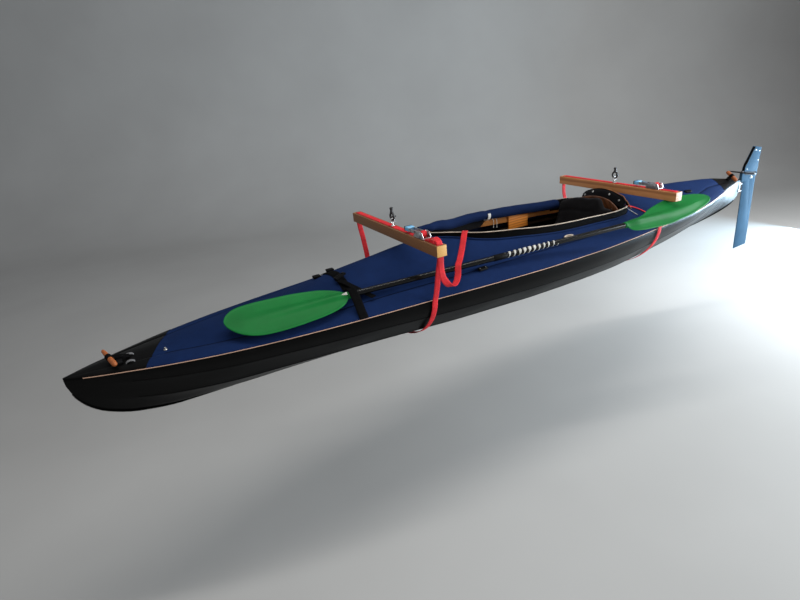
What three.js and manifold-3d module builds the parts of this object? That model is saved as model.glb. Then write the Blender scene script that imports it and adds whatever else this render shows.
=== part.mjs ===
// Folding kayak hung level in its two wooden-bar slings.
// Millimetres. +X points to the bow, +Y to port, +Z up.
// The shapes are drawn about the middle of the gunwale line; at the end every piece is
// shifted so that the origin sits on the front hoist point, which holds the boat.

import * as THREE from "three";
import Module from "manifold-3d";

// Hull
const BOW_X = 2000;
const STERN_X = -2012;
const HULL_WALL = 3;
const BOW_SHEER = -16;
const STERN_SHEER = 13;
const GAP = 0.3;

// Lines of the boat. half: half width at the gunwale, crown: rise of the deck on the
// centreline, peak: how tent-like the deck is (2 round, 1 straight), keel: keel height,
// bilge: fullness of the bottom (1 is a straight V, 2 an ellipse).
const LINES = [
  { x: 2000, half: 5, crown: 3, peak: 2.0, keel: -44, bilge: 1.15 },
  { x: 1985, half: 13, crown: 5, peak: 2.0, keel: -98, bilge: 1.15 },
  { x: 1950, half: 32, crown: 9, peak: 2.0, keel: -150, bilge: 1.15 },
  { x: 1900, half: 55, crown: 14, peak: 2.0, keel: -188, bilge: 1.17 },
  { x: 1800, half: 95, crown: 20, peak: 2.0, keel: -226, bilge: 1.2 },
  { x: 1650, half: 150, crown: 27, peak: 2.0, keel: -247, bilge: 1.3 },
  { x: 1450, half: 206, crown: 36, peak: 2.0, keel: -249, bilge: 1.42 },
  { x: 1250, half: 244, crown: 50, peak: 1.95, keel: -247, bilge: 1.45 },
  { x: 1050, half: 271, crown: 78, peak: 1.8, keel: -244, bilge: 1.52 },
  { x: 850, half: 290, crown: 122, peak: 1.55, keel: -243, bilge: 1.6 },
  { x: 620, half: 308, crown: 158, peak: 1.4, keel: -245, bilge: 1.72 },
  { x: 475, half: 321, crown: 174, peak: 1.38, keel: -247, bilge: 1.76 },
  { x: 250, half: 337, crown: 207, peak: 1.34, keel: -249, bilge: 1.78 },
  { x: 0, half: 347, crown: 238, peak: 1.32, keel: -251, bilge: 1.83 },
  { x: -300, half: 344, crown: 226, peak: 1.3, keel: -251, bilge: 1.84 },
  { x: -550, half: 326, crown: 205, peak: 1.3, keel: -250, bilge: 1.82 },
  { x: -750, half: 303, crown: 148, peak: 1.4, keel: -245, bilge: 1.73 },
  { x: -950, half: 281, crown: 134, peak: 1.5, keel: -238, bilge: 1.6 },
  { x: -1150, half: 252, crown: 122, peak: 1.5, keel: -228, bilge: 1.48 },
  { x: -1350, half: 205, crown: 108, peak: 1.5, keel: -214, bilge: 1.38 },
  { x: -1570, half: 140, crown: 86, peak: 1.5, keel: -193, bilge: 1.27 },
  { x: -1700, half: 96, crown: 68, peak: 1.5, keel: -177, bilge: 1.22 },
  { x: -1820, half: 56, crown: 45, peak: 1.6, keel: -159, bilge: 1.18 },
  { x: -1920, half: 27, crown: 26, peak: 1.8, keel: -137, bilge: 1.15 },
  { x: -1980, half: 11, crown: 12, peak: 2.0, keel: -112, bilge: 1.15 },
  { x: -2012, half: 6, crown: 6, peak: 2.0, keel: -88, bilge: 1.15 },
];

// Deck
const DECK_LIFT = 3.3;
const DECK_THICK = 3;
const BOW_PATCH_X = 1672;
const BOW_PATCH_SLANT = 0.41;
const BOW_PATCH_FADE = 250;
const STERN_PATCH_X = -1685;
const SEAM_INBOARD = 70;
const EDGE_BULGE = 17;
const COCKPIT_FRONT_X = 475;
const FLOOR_TOP = -196;
const COCKPIT_REAR_X = -760;

// Cockpit opening, half width at each place along the boat.
const OPENING = [
  { x: 475, half: 8 },
  { x: 430, half: 38 },
  { x: 340, half: 90 },
  { x: 265, half: 130 },
  { x: 120, half: 178 },
  { x: -16, half: 204 },
  { x: -150, half: 214 },
  { x: -284, half: 217 },
  { x: -420, half: 216 },
  { x: -544, half: 210 },
  { x: -640, half: 192 },
  { x: -700, half: 162 },
  { x: -745, half: 104 },
  { x: -760, half: 40 },
];
const COCKPIT_STATIONS = [
  475, 450, 415, 370, 320, 265, 200, 120, 50, -40, -150, -284, -420, -544, -600, -628, -660, -690, -720,
  -745, -760,
];
const RAIL_THICK = 10;
const RAIL_DEPTH_BELOW = 42;
const RAIL_RISE = 18;
const RAIL_GROWS = 13;
const RAIL_REAR_X = -628;
const SKIRT_THICK = 3;
const COLLAR_TOP = 190;
const COLLAR_HALF = 147;
const COLLAR_THICK = 4;
const BOARD_HALF = 186.9;
const BOARD_TOP = 168;
const BOARD_LOW = 98;
const PANEL_BELOW_DECK = 4;
const ROLL_RADIUS = 26;

// Slings that hold the boat
const BAR_SIDE = 45;
const BAR_HALF_LENGTH = 395;
const STRAP_WIDTH = 27;
const STRAP_THICK = 2.4;
const SLOT_LENGTH = 32;
const SLOT_Y = [377.5, 385.5];
const STRAP_Y = 379.2;
const TAIL_Y = 382.9;
const TAIL_THICK = 2.2;
const SLINGS = [
  { name: "front", x: 629, top: 257, tuck: [], hang: [] },
  {
    name: "rear", x: -785, top: 208,
    tuck: [[331, 161.3], [322, 152], [316, 130]],
    hang: [[-379, 120], [-371, 82], [-350, 44], [-325, 18]],
  },
];
const HOIST_RING_RISE = 62;
const HOOK_RING = 16;
const HOOK_TUBE = 4;
const EYE_RING = 10;
const EYE_TUBE = 2.5;
const EYE_SHANK = 3.5;

// Paddle
const SHAFT_RADIUS = 12.5;
const PADDLE_FORE = new THREE.Vector3(960, 190, 78);
const PADDLE_AFT = new THREE.Vector3(-450, 363, 105);
const PADDLE_STRAP_X = 930;
const PADDLE_STRAP_WIDTH = 38;

// Blade outlines. at: distance from the end of the shaft, out: width outboard of the shaft's
// line, in: width inboard of it, both across the tilted blade.
const FORE_BLADE = [
  { at: 0, out: 16, in: 16 }, { at: 20, out: 32, in: 36 }, { at: 60, out: 51, in: 50 },
  { at: 110, out: 70, in: 60 }, { at: 173, out: 87, in: 62 }, { at: 231, out: 96, in: 69 },
  { at: 291, out: 100, in: 75 }, { at: 351, out: 91, in: 81 }, { at: 397, out: 73, in: 83 },
  { at: 431, out: 43, in: 78 }, { at: 450, out: 22, in: 72 }, { at: 465, out: 3, in: 60 },
  { at: 476, out: -13, in: 43 }, { at: 481, out: -24, in: 32 },
];
const AFT_BLADE = [
  { at: 0, out: 17, in: 15 }, { at: 20, out: 40, in: 16 }, { at: 50, out: 52, in: 16 },
  { at: 100, out: 60, in: 20 }, { at: 160, out: 66, in: 38 }, { at: 237, out: 66, in: 58 },
  { at: 290, out: 62, in: 70 }, { at: 329, out: 57, in: 77 }, { at: 376, out: 47, in: 79 },
  { at: 415, out: 35, in: 81 }, { at: 458, out: 24, in: 82 }, { at: 500, out: 9, in: 80 },
  { at: 533, out: -5, in: 75 }, { at: 558, out: -17, in: 68 }, { at: 575, out: -27, in: 59 },
  { at: 585, out: -37, in: 48 },
];
const FORE_TILT = -0.42;
const AFT_TILT = -0.6;

// Carrying toggles
const TOGGLES = [
  {
    name: "bow", ends: [[1857, -22, 46], [1822, 84, 20]], radii: [7, 10.5],
    anchor: [1775, 22], rise: 3.4, lift: 2, width: 22,
  },
  {
    name: "stern", ends: [[-1877, -15, 96], [-1863, 66, 45]], radii: [11.5, 11.5],
    anchor: [-1832, 20], rise: 2.3, lift: 4, width: 20,
  },
];

// Rudder
const PINTLE_X = -2030;
const PINTLE_RADIUS = 5;
const BLADE_PIN = new THREE.Vector3(-2126, 0, 22);
const RUDDER_PLATE = 4;
const CHEEK_PLATE = 2.5;
const CHEEK_OFFSET = 9.4;
const YOKE_Z = 63;

// Backrest
const BACKREST_PIVOT = new THREE.Vector3(-585, 0, 96);
const BACKREST_HALF = 180;
const BACKREST_THICK = 40;
const BACKREST_TOP = 172;
const ROD_RADIUS = 6;

const MATERIALS = {
  rubber: { color: 0x15161a, roughness: 0.55, metalness: 0 },
  canvas: { color: 0x14246b, roughness: 0.85, metalness: 0 },
  piping: { color: 0xd9a98a, roughness: 0.6, metalness: 0 },
  wood: { color: 0xb5702f, roughness: 0.45, metalness: 0 },
  brownWood: { color: 0x6e3c1c, roughness: 0.45, metalness: 0 },
  pine: { color: 0xc08a4a, roughness: 0.7, metalness: 0 },
  webbing: { color: 0x101012, roughness: 0.9, metalness: 0 },
  redWebbing: { color: 0xcf2430, roughness: 0.8, metalness: 0 },
  green: { color: 0x1ea04c, roughness: 0.35, metalness: 0 },
  darkFabric: { color: 0x111114, roughness: 0.9, metalness: 0 },
  white: { color: 0xd8d8d4, roughness: 0.7, metalness: 0 },
  black: { color: 0x1b1b1d, roughness: 0.4, metalness: 0 },
  rudderPaint: { color: 0x4f6d8c, roughness: 0.5, metalness: 0.3 },
  zinc: { color: 0x9aa0a6, roughness: 0.35, metalness: 0.9 },
  steel: { color: 0x3a3c40, roughness: 0.4, metalness: 0.9 },
};

const wasm = await Module();
wasm.setup();

const materialCache = new Map();

function material(name) {
  if (!materialCache.has(name)) {
    const m = new THREE.MeshStandardMaterial({ side: THREE.FrontSide, ...MATERIALS[name] });
    m.name = name;
    materialCache.set(name, m);
  }
  return materialCache.get(name);
}

const kayak = new THREE.Group();
kayak.name = "folding_kayak";

function add(name, geometry, materialName) {
  const mesh = new THREE.Mesh(geometry, material(materialName));
  mesh.name = name;
  kayak.add(mesh);
  return mesh;
}

// Smooth curve through the rows of a table whose x falls from row to row.
function along(table, key, x) {
  const last = table.length - 1;
  if (x >= table[0].x) return table[0][key];
  if (x <= table[last].x) return table[last][key];
  let i = 0;
  while (table[i + 1].x > x) i += 1;
  const slope = (k) => (table[k + 1][key] - table[k][key]) / (table[k + 1].x - table[k].x);
  const tangent = (k) => {
    if (k === 0) return slope(0);
    if (k === last) return slope(last - 1);
    const a = slope(k - 1);
    const b = slope(k);
    if (a * b <= 0) return 0;
    return (2 * a * b) / (a + b);
  };
  const h = table[i + 1].x - table[i].x;
  const t = (x - table[i].x) / h;
  const t2 = t * t;
  const t3 = t2 * t;
  return (2 * t3 - 3 * t2 + 1) * table[i][key] + (t3 - 2 * t2 + t) * h * tangent(i)
    + (3 * t2 - 2 * t3) * table[i + 1][key] + (t3 - t2) * h * tangent(i + 1);
}

const halfWidth = (x) => along(LINES, "half", x);
const openingHalf = (x) => along(OPENING, "half", x);

function sheer(x) {
  const end = x > 0 ? BOW_SHEER : STERN_SHEER;
  return end * Math.pow(Math.abs(x) / BOW_X, 2.2);
}

// Distance from the gunwale to the seam of the deck
const seamInboard = (x) => Math.min(SEAM_INBOARD, 0.45 * halfWidth(x));

// The deck rises to its crown like a tent and bulges between the gunwale and the seam.
function deckHeight(x, y) {
  const crown = along(LINES, "crown", x);
  const share = Math.min(1, Math.abs(y) / halfWidth(x));
  const inboard = Math.min(1, (halfWidth(x) - Math.abs(y)) / seamInboard(x));
  const arc = Math.sqrt(1 - Math.pow(1 - Math.max(0, inboard), 2)) - Math.max(0, inboard);
  const bulge = EDGE_BULGE * seamInboard(x) / SEAM_INBOARD * arc;
  return sheer(x) + DECK_LIFT + bulge + crown * (1 - Math.pow(share, along(LINES, "peak", x)));
}

// Point on the hull section at x; turn runs from -1 (starboard gunwale) to 1 (port gunwale).
function hullPoint(x, turn, inset) {
  const top = sheer(x);
  const half = halfWidth(x);
  const depth = top - along(LINES, "keel", x);
  const power = 2 / along(LINES, "bilge", x);
  const angle = (1 - Math.abs(turn)) * Math.PI / 2;
  const side = Math.sign(turn);
  const wide = Math.max(half - inset, half * 0.35);
  const deep = Math.max(depth - inset, depth * 0.6);
  const y = side * wide * Math.pow(Math.cos(angle), power);
  const z = top - deep * Math.pow(Math.sin(angle), power);
  return new THREE.Vector3(x, y, z);
}

function spread(from, to, count) {
  return Array.from({ length: count + 1 }, (_, i) => from + (to - from) * i / count);
}

// Closed solid from a list of points and triangles, turned so that it faces outwards.
function solid(points, triangles) {
  let volume = 0;
  const cross = new THREE.Vector3();
  for (const [a, b, c] of triangles) {
    volume += points[a].dot(cross.crossVectors(points[b], points[c]));
  }
  const index = [];
  for (const [a, b, c] of triangles) {
    if (volume > 0) index.push(a, b, c);
    else index.push(a, c, b);
  }
  const geometry = new THREE.BufferGeometry();
  const flat = new Float32Array(points.length * 3);
  points.forEach((p, i) => p.toArray(flat, i * 3));
  geometry.setAttribute("position", new THREE.BufferAttribute(flat, 3));
  geometry.setIndex(index);
  return geometry;
}

// Sheet between two grids of points, closed round its four edges.
function sheet(outer, inner) {
  const rows = outer.length;
  const cols = outer[0].length;
  const points = [...outer.flat(), ...inner.flat()];
  const at = (layer, i, j) => layer * rows * cols + i * cols + j;
  const triangles = [];
  const quad = (a, b, c, d) => triangles.push([a, b, c], [a, c, d]);
  for (let i = 0; i < rows - 1; i += 1) {
    for (let j = 0; j < cols - 1; j += 1) {
      quad(at(0, i, j), at(0, i + 1, j), at(0, i + 1, j + 1), at(0, i, j + 1));
      quad(at(1, i, j), at(1, i, j + 1), at(1, i + 1, j + 1), at(1, i + 1, j));
    }
    quad(at(0, i, 0), at(1, i, 0), at(1, i + 1, 0), at(0, i + 1, 0));
    quad(at(0, i, cols - 1), at(0, i + 1, cols - 1), at(1, i + 1, cols - 1), at(1, i, cols - 1));
  }
  for (let j = 0; j < cols - 1; j += 1) {
    quad(at(0, 0, j), at(0, 0, j + 1), at(1, 0, j + 1), at(1, 0, j));
    quad(at(0, rows - 1, j), at(1, rows - 1, j), at(1, rows - 1, j + 1), at(0, rows - 1, j + 1));
  }
  return solid(points, triangles);
}

// Solid skinned over rings of points; open runs get flat ends, loops close on themselves.
function skin(rings, closed) {
  const count = rings[0].length;
  const points = rings.flat();
  const triangles = [];
  const last = closed ? rings.length : rings.length - 1;
  for (let i = 0; i < last; i += 1) {
    const next = (i + 1) % rings.length;
    for (let j = 0; j < count; j += 1) {
      const k = (j + 1) % count;
      triangles.push([i * count + j, next * count + j, next * count + k]);
      triangles.push([i * count + j, next * count + k, i * count + k]);
    }
  }
  if (!closed) {
    const end = (rings.length - 1) * count;
    for (let j = 1; j < count - 1; j += 1) {
      triangles.push([0, j, j + 1]);
      triangles.push([end, end + j + 1, end + j]);
    }
  }
  return solid(points, triangles);
}

// Flat strip of webbing or board that follows a path; across is its width direction.
function strip(path, across, width, thick, closed) {
  const rings = path.map((p, i) => {
    const before = path[closed ? (i + path.length - 1) % path.length : Math.max(0, i - 1)];
    const after = path[closed ? (i + 1) % path.length : Math.min(path.length - 1, i + 1)];
    const side = (typeof across === "function" ? across(i) : across).clone().normalize();
    const run = after.clone().sub(before).normalize();
    const up = new THREE.Vector3().crossVectors(run, side).normalize();
    const corner = (s, u) => {
      return p.clone().addScaledVector(side, s * width / 2).addScaledVector(up, u * thick / 2);
    };
    return [corner(-1, -1), corner(1, -1), corner(1, 1), corner(-1, 1)];
  });
  return skin(rings, closed);
}

// Round rod that follows a path, radius may change along it.
function rod(path, radius, sides, closed) {
  const rings = path.map((p, i) => {
    const before = path[closed ? (i + path.length - 1) % path.length : Math.max(0, i - 1)];
    const after = path[closed ? (i + 1) % path.length : Math.min(path.length - 1, i + 1)];
    const run = after.clone().sub(before).normalize();
    const guide = Math.abs(run.z) > 0.9 ? new THREE.Vector3(0, 1, 0) : new THREE.Vector3(0, 0, 1);
    const u = new THREE.Vector3().crossVectors(run, guide).normalize();
    const v = new THREE.Vector3().crossVectors(u, run).normalize();
    const r = typeof radius === "function" ? radius(i / (path.length - 1), p) : radius;
    return Array.from({ length: sides }, (_, k) => {
      const a = (k + 0.5) / sides * 2 * Math.PI;
      return p.clone().addScaledVector(u, r * Math.cos(a)).addScaledVector(v, r * Math.sin(a));
    });
  });
  return skin(rings, closed);
}

function box(x0, x1, y0, y1, z0, z1) {
  const g = new THREE.BoxGeometry(x1 - x0, y1 - y0, z1 - z0);
  g.translate((x0 + x1) / 2, (y0 + y1) / 2, (z0 + z1) / 2);
  return g;
}

// Plate of an outline in the X-Z plane, y from y0 to y1.
function plateXZ(outline, y0, y1) {
  const shape = new THREE.Shape(outline.map(([x, z]) => new THREE.Vector2(x, z)));
  const g = new THREE.ExtrudeGeometry(shape, { depth: y1 - y0, bevelEnabled: false, steps: 1 });
  g.rotateX(Math.PI / 2);
  g.translate(0, y1, 0);
  return g;
}

function toManifold(geometry) {
  const merged = new Map();
  const vertices = [];
  const ids = [];
  const position = geometry.attributes.position;
  for (let i = 0; i < position.count; i += 1) {
    const values = [position.getX(i), position.getY(i), position.getZ(i)];
    const key = values.map((v) => Math.round(v * 1e4)).join(",");
    if (!merged.has(key)) {
      merged.set(key, vertices.length / 3);
      vertices.push(...values);
    }
    ids.push(merged.get(key));
  }
  const index = geometry.index ? Array.from(geometry.index.array) : ids.map((_, i) => i);
  const triangles = [];
  for (let i = 0; i < index.length; i += 3) {
    const [a, b, c] = [ids[index[i]], ids[index[i + 1]], ids[index[i + 2]]];
    if (a !== b && b !== c && a !== c) triangles.push(a, b, c);
  }
  return new wasm.Manifold(new wasm.Mesh({
    numProp: 3,
    vertProperties: new Float32Array(vertices),
    triVerts: new Uint32Array(triangles),
  }));
}

function fromManifold(body) {
  const mesh = body.getMesh();
  const geometry = new THREE.BufferGeometry();
  geometry.setAttribute("position", new THREE.BufferAttribute(Float32Array.from(mesh.vertProperties), 3));
  geometry.setIndex(Array.from(mesh.triVerts));
  return geometry;
}

const join = (...parts) => fromManifold(wasm.Manifold.union(parts.map(toManifold)));

function cut(whole, ...tools) {
  const away = wasm.Manifold.union(tools.map(toManifold));
  return fromManifold(toManifold(whole).subtract(away));
}

function hullStations() {
  const xs = [2000, 1993, 1985, 1970, 1950, 1925, 1900, 1850, 1800, 1730, 1650, 1550];
  for (let x = 1450; x >= -1650; x -= 100) xs.push(x);
  xs.push(-1740, -1820, -1880, -1930, -1965, -1992, STERN_X);
  return xs;
}

// Hull skin, piping and keel strip
function buildHull() {
  const xs = hullStations();
  const turns = spread(1, -1, 24);
  const outer = xs.map((x) => turns.map((t) => hullPoint(x, t, 0)));
  const inner = xs.map((x) => turns.map((t) => hullPoint(x, t, HULL_WALL)));
  add("hull_skin", sheet(outer, inner), "rubber");
  for (const [name, side] of [["port", 1], ["starboard", -1]]) {
    const run = xs.filter((x) => x <= 1950 && x >= -1820).map((x) => {
      return new THREE.Vector3(x, side * (halfWidth(x) + 2), sheer(x) + 2);
    });
    add(`gunwale_piping_${name}`, strip(run, new THREE.Vector3(0, 0, 1), 5, 2.4, false), "piping");
  }
  const keelRun = xs.filter((x) => x <= 1985 && x >= -1965).map((x) => {
    const slope = (along(LINES, "keel", x + 1) - along(LINES, "keel", x - 1)) / 2;
    const down = new THREE.Vector3(slope, 0, -1).normalize();
    return new THREE.Vector3(x, 0, along(LINES, "keel", x)).addScaledVector(down, 2.4);
  });
  add("keel_strip", strip(keelRun, new THREE.Vector3(0, 1, 0), 14, 3.4, false), "rubber");
}

// Distances inboard of the gunwale as shares of the seam's distance, close together where the
// deck bulges
const SEAM_SHARES = [0, 0.06, 0.17, 0.37, 0.64, 1];

function acrossDeck(x) {
  const half = halfWidth(x);
  const port = SEAM_SHARES.map((share) => half - share * seamInboard(x));
  port.push(...[0.75, 0.5, 0.25].map((share) => share * (half - seamInboard(x))));
  return [...port, 0, ...port.map((y) => -y).reverse()];
}

function acrossSideDeck(x, side) {
  const seam = halfWidth(x) - seamInboard(x);
  const edge = openingHalf(x) + GAP;
  const ys = SEAM_SHARES.map((share) => halfWidth(x) - share * seamInboard(x));
  return [...ys, (seam + edge) / 2, edge].map((y) => side * y);
}

// Deck cloth between stations; near the bow patch the stations slant across the boat.
function deckSheet(xs, across) {
  const outer = xs.map((x) => {
    const slant = BOW_PATCH_SLANT * Math.max(0, 1 - Math.abs(x - BOW_PATCH_X) / BOW_PATCH_FADE);
    return across(x).map((y) => {
      const moved = x + slant * y;
      const wide = y * halfWidth(moved) / halfWidth(x);
      return new THREE.Vector3(moved, wide, deckHeight(moved, wide));
    });
  });
  const inner = outer.map((row) => row.map((p) => p.clone().add(new THREE.Vector3(0, 0, -DECK_THICK))));
  return sheet(outer, inner);
}

function buildDeck() {
  add("foredeck", deckSheet(spread(BOW_PATCH_X - GAP, COCKPIT_FRONT_X + GAP, 14), acrossDeck), "canvas");
  add("afterdeck", deckSheet(spread(COCKPIT_REAR_X - GAP, STERN_PATCH_X + GAP, 12), acrossDeck), "canvas");
  const bowStations = [BOW_PATCH_X, 1740, 1800, 1850, 1900, 1950, 1985, 2000];
  add("bow_patch", deckSheet(bowStations, acrossDeck), "rubber");
  const sternStations = [STERN_PATCH_X, -1745, -1800, -1850, -1895, -1935, -1975, STERN_X];
  add("stern_patch", deckSheet(sternStations, acrossDeck), "rubber");
  for (const [name, side] of [["port", 1], ["starboard", -1]]) {
    add(`side_deck_${name}`, deckSheet(COCKPIT_STATIONS, (x) => acrossSideDeck(x, side)), "canvas");
  }
}

function railTop(x) {
  const grown = THREE.MathUtils.smoothstep(-x, -475, -60);
  return deckHeight(x, openingHalf(x)) + RAIL_RISE + RAIL_GROWS * grown;
}

function buildCoaming() {
  const xs = COCKPIT_STATIONS.filter((x) => x >= RAIL_REAR_X);
  for (const [name, side] of [["port", 1], ["starboard", -1]]) {
    const section = (x, from, to, low, high) => [
      new THREE.Vector3(x, side * (openingHalf(x) - from), low),
      new THREE.Vector3(x, side * (openingHalf(x) - to), low),
      new THREE.Vector3(x, side * (openingHalf(x) - to), high),
      new THREE.Vector3(x, side * (openingHalf(x) - from), high),
    ];
    const foot = (x) => deckHeight(x, openingHalf(x));
    const inward = (x) => Math.min(RAIL_THICK, openingHalf(x) - 1);
    const rail = xs.map((x) => section(x, 0, inward(x), foot(x) - RAIL_DEPTH_BELOW, railTop(x)));
    add(`coaming_rail_${name}`, skin(rail, false), "wood");
    const skirt = xs.slice(1).map((x) => section(x, -GAP, -GAP - SKIRT_THICK, foot(x) + GAP, railTop(x) - 7));
    add(`coaming_skirt_${name}`, skin(skirt, false), "rubber");
  }
}

// Standing black collar behind the cockpit, its rear hem on the edge of the opening, and the
// curved board under it
function buildRearOfCockpit() {
  const rearEdge = (y) => {
    let x = COCKPIT_REAR_X;
    while (openingHalf(x) < Math.abs(y) && x < RAIL_REAR_X) x += 0.5;
    return x - 5;
  };
  const crest = (y) => {
    const ends = 16 * THREE.MathUtils.smoothstep(Math.abs(y), 118, COLLAR_HALF);
    return COLLAR_TOP - 20 * Math.pow(Math.abs(y) / 100, 1.6) - ends;
  };
  const collar = (thick) => spread(-COLLAR_HALF, COLLAR_HALF, 14).map((y) => {
    const back = -690 - 18 * Math.pow(y / COLLAR_HALF, 2);
    const foot = Math.min(rearEdge(y), back - 24);
    const low = Math.min(deckHeight(-700, Math.max(Math.abs(y), 60)) - 4, crest(y) - 26);
    const seat = deckHeight(foot, y) + 2 * GAP;
    const rise = Math.max(0, crest(y) - seat - COLLAR_THICK);
    const top = seat + COLLAR_THICK + rise;
    return [
      new THREE.Vector3(back + 21 - thick, y, low),
      new THREE.Vector3(back + 6 - thick, y, top - 6 - thick * 0.3),
      new THREE.Vector3(back - 12, y, top - thick),
      new THREE.Vector3((back - 12 + foot) / 2, y, top - 0.4 * rise - thick),
      new THREE.Vector3(foot, y, seat + COLLAR_THICK - thick),
    ];
  });
  add("rear_collar", sheet(collar(0), collar(COLLAR_THICK)), "darkFabric");
  const board = (offset) => spread(-BOARD_HALF, BOARD_HALF, 14).map((y) => {
    const x = -614 - 50 * (1 - (y / BOARD_HALF) ** 2) + offset;
    const top = BOARD_TOP - 26 * Math.pow(Math.abs(y) / 100, 1.5);
    return [BOARD_LOW, top].map((z) => new THREE.Vector3(x, y, z));
  });
  add("rear_cross_board", sheet(board(-4.5), board(4.5)), "brownWood");
}

// Frame inside the cockpit
function buildFrame() {
  for (const [name, x, low] of [["front", 380, 0.915], ["middle", 20, 0.9], ["rear", -470, 0.9]]) {
    const turns = spread(0.86, -0.86, 16);
    const ring = (px, inset, scale) => turns.map((t) => {
      const p = hullPoint(px, t, HULL_WALL + inset);
      return new THREE.Vector3(p.x, p.y * scale, sheer(px) + (p.z - sheer(px)) * scale);
    });
    const outer = [ring(x + 6, 1.5, 1), ring(x - 6, 1.5, 1)];
    const inner = [ring(x + 6, 1.5, low), ring(x - 6, 1.5, low)];
    add(`rib_${name}`, sheet(outer, inner), "wood");
  }
  for (const [name, side] of [["port", 1], ["starboard", -1]]) {
    const run = spread(850, -950, 18).map((x) => {
      return new THREE.Vector3(x, side * (halfWidth(x) - 14.7), sheer(x) - 14);
    });
    add(`gunwale_stringer_${name}`, rod(run, 9, 8, false), "wood");
  }
  add("floorboard", box(-560, 460, -95, 95, FLOOR_TOP - 8, FLOOR_TOP), "wood");
  const panel = [-190, -260, -330].map((x) => {
    const y = -(openingHalf(x) - RAIL_THICK - 0.9);
    const top = deckHeight(x, openingHalf(x)) - PANEL_BELOW_DECK;
    return [[y, 22], [y + 7, 22], [y + 7, top], [y, top]].map(([py, pz]) => new THREE.Vector3(x, py, pz));
  });
  add("side_panel", skin(panel, false), "wood");
}

function buildSeat() {
  add("seat_pad", box(-560, -240, -120, 120, FLOOR_TOP + GAP, -158), "darkFabric");
  const crest = (y) => BACKREST_TOP - 7 * Math.pow(Math.abs(y) / 75, 2.18);
  const face = (offset) => spread(-BACKREST_HALF, BACKREST_HALF, 12).map((y) => {
    return spread(-112, crest(y), 7).map((z) => {
      const lean = Math.pow(Math.max(0, 165 - z) / 277, 1.3);
      return new THREE.Vector3(BACKREST_PIVOT.x + 12 + 103 * lean + offset, y, z);
    });
  });
  const clips = [-110, 110].map((y) => box(BACKREST_PIVOT.x, BACKREST_PIVOT.x + 24, y - 12, y + 12, 84, 108));
  const bore = new THREE.CylinderGeometry(ROD_RADIUS + 0.4, ROD_RADIUS + 0.4, 300, 24);
  bore.translate(BACKREST_PIVOT.x, 0, BACKREST_PIVOT.z);
  const pad = sheet(face(BACKREST_THICK / 2), face(-BACKREST_THICK / 2));
  add("backrest", cut(join(pad, ...clips), bore), "darkFabric");
  const reach = openingHalf(BACKREST_PIVOT.x) - RAIL_THICK - 1.8;
  const ends = [-reach, reach].map((y) => BACKREST_PIVOT.clone().setY(y));
  add("backrest_rod", rod(ends, ROD_RADIUS, 12, false), "steel");
}

// Spray cover rolled up along the starboard rail, inside the opening
function buildCover() {
  const { smoothstep } = THREE.MathUtils;
  const radius = (x) => {
    const pinch = 5 * Math.exp(-(((x + 68) / 26) ** 2));
    const nose = 9 * smoothstep(x, 330, 432) + 5 * smoothstep(x, 422, 432);
    return ROLL_RADIUS - pinch - nose;
  };
  const centre = (x) => {
    const turn = (openingHalf(x + 10) - openingHalf(x - 10)) / 20;
    const away = RAIL_THICK + (ROLL_RADIUS - 9 * smoothstep(x, 330, 432) + 1) * Math.hypot(1, turn);
    const lift = 18 * smoothstep(x, 250, 432) - 9 * smoothstep(-x, 200, 400) - 5;
    return new THREE.Vector3(x, -(openingHalf(x) - away), railTop(x) + lift);
  };
  const xs = [
    432, 420, 395, 350, 300, 250, 190, 120, 50, -10, -40, -60, -76, -96, -130, -200, -284, -370, -450, -520,
  ];
  add("rolled_spray_cover", rod(xs.map(centre), (t, p) => radius(p.x), 12, false), "canvas");
}

// Paddle lying on the port side of the deck
function bladeGeometry(outline, from, dir, side, up) {
  const length = outline[outline.length - 1].at;
  const rings = outline.map((row) => {
    const t = row.at / length;
    const c = from.clone().addScaledVector(dir, row.at);
    const ridge = Math.max(0, t - 0.5) * (row.out - row.in);
    const spoon = 8 * Math.sin(Math.PI * t);
    const thick = 9 * (1 - t) + 3;
    const point = (s, u) => {
      const width = s > 0 ? ridge + s * (row.out - ridge) : ridge + s * (row.in + ridge);
      return c.clone().addScaledVector(side, width).addScaledVector(up, u - spoon * (1 - s * s) * 0.4);
    };
    const under = [point(-1, -1.5), point(-0.5, -1.5), point(0, -thick), point(0.5, -1.5), point(1, -1.5)];
    const over = [point(1, 1.5), point(0.5, 1.5), point(0, thick), point(-0.5, 1.5), point(-1, 1.5)];
    return [...under, ...over];
  });
  return skin(rings, false);
}

function buildPaddle() {
  const dir = PADDLE_FORE.clone().sub(PADDLE_AFT).normalize();
  const level = new THREE.Vector3(-dir.y, dir.x, 0).normalize();
  const up = new THREE.Vector3().crossVectors(dir, level).normalize();
  const tilt = (angle) => ({
    side: level.clone().multiplyScalar(Math.cos(angle)).addScaledVector(up, Math.sin(angle)),
    face: up.clone().multiplyScalar(Math.cos(angle)).addScaledVector(level, -Math.sin(angle)),
  });
  const at = (s) => PADDLE_FORE.clone().addScaledVector(dir, -s);
  const length = PADDLE_FORE.distanceTo(PADDLE_AFT);
  add("paddle_shaft", rod([at(GAP), at(length - GAP)], SHAFT_RADIUS, 16, false), "black");
  const fore = tilt(FORE_TILT);
  add("paddle_blade_fore", bladeGeometry(FORE_BLADE, PADDLE_FORE, dir, fore.side, fore.face), "green");
  const aft = tilt(AFT_TILT);
  const back = dir.clone().negate();
  add("paddle_blade_aft", bladeGeometry(AFT_BLADE, PADDLE_AFT, back, aft.side, aft.face), "green");
}

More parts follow.
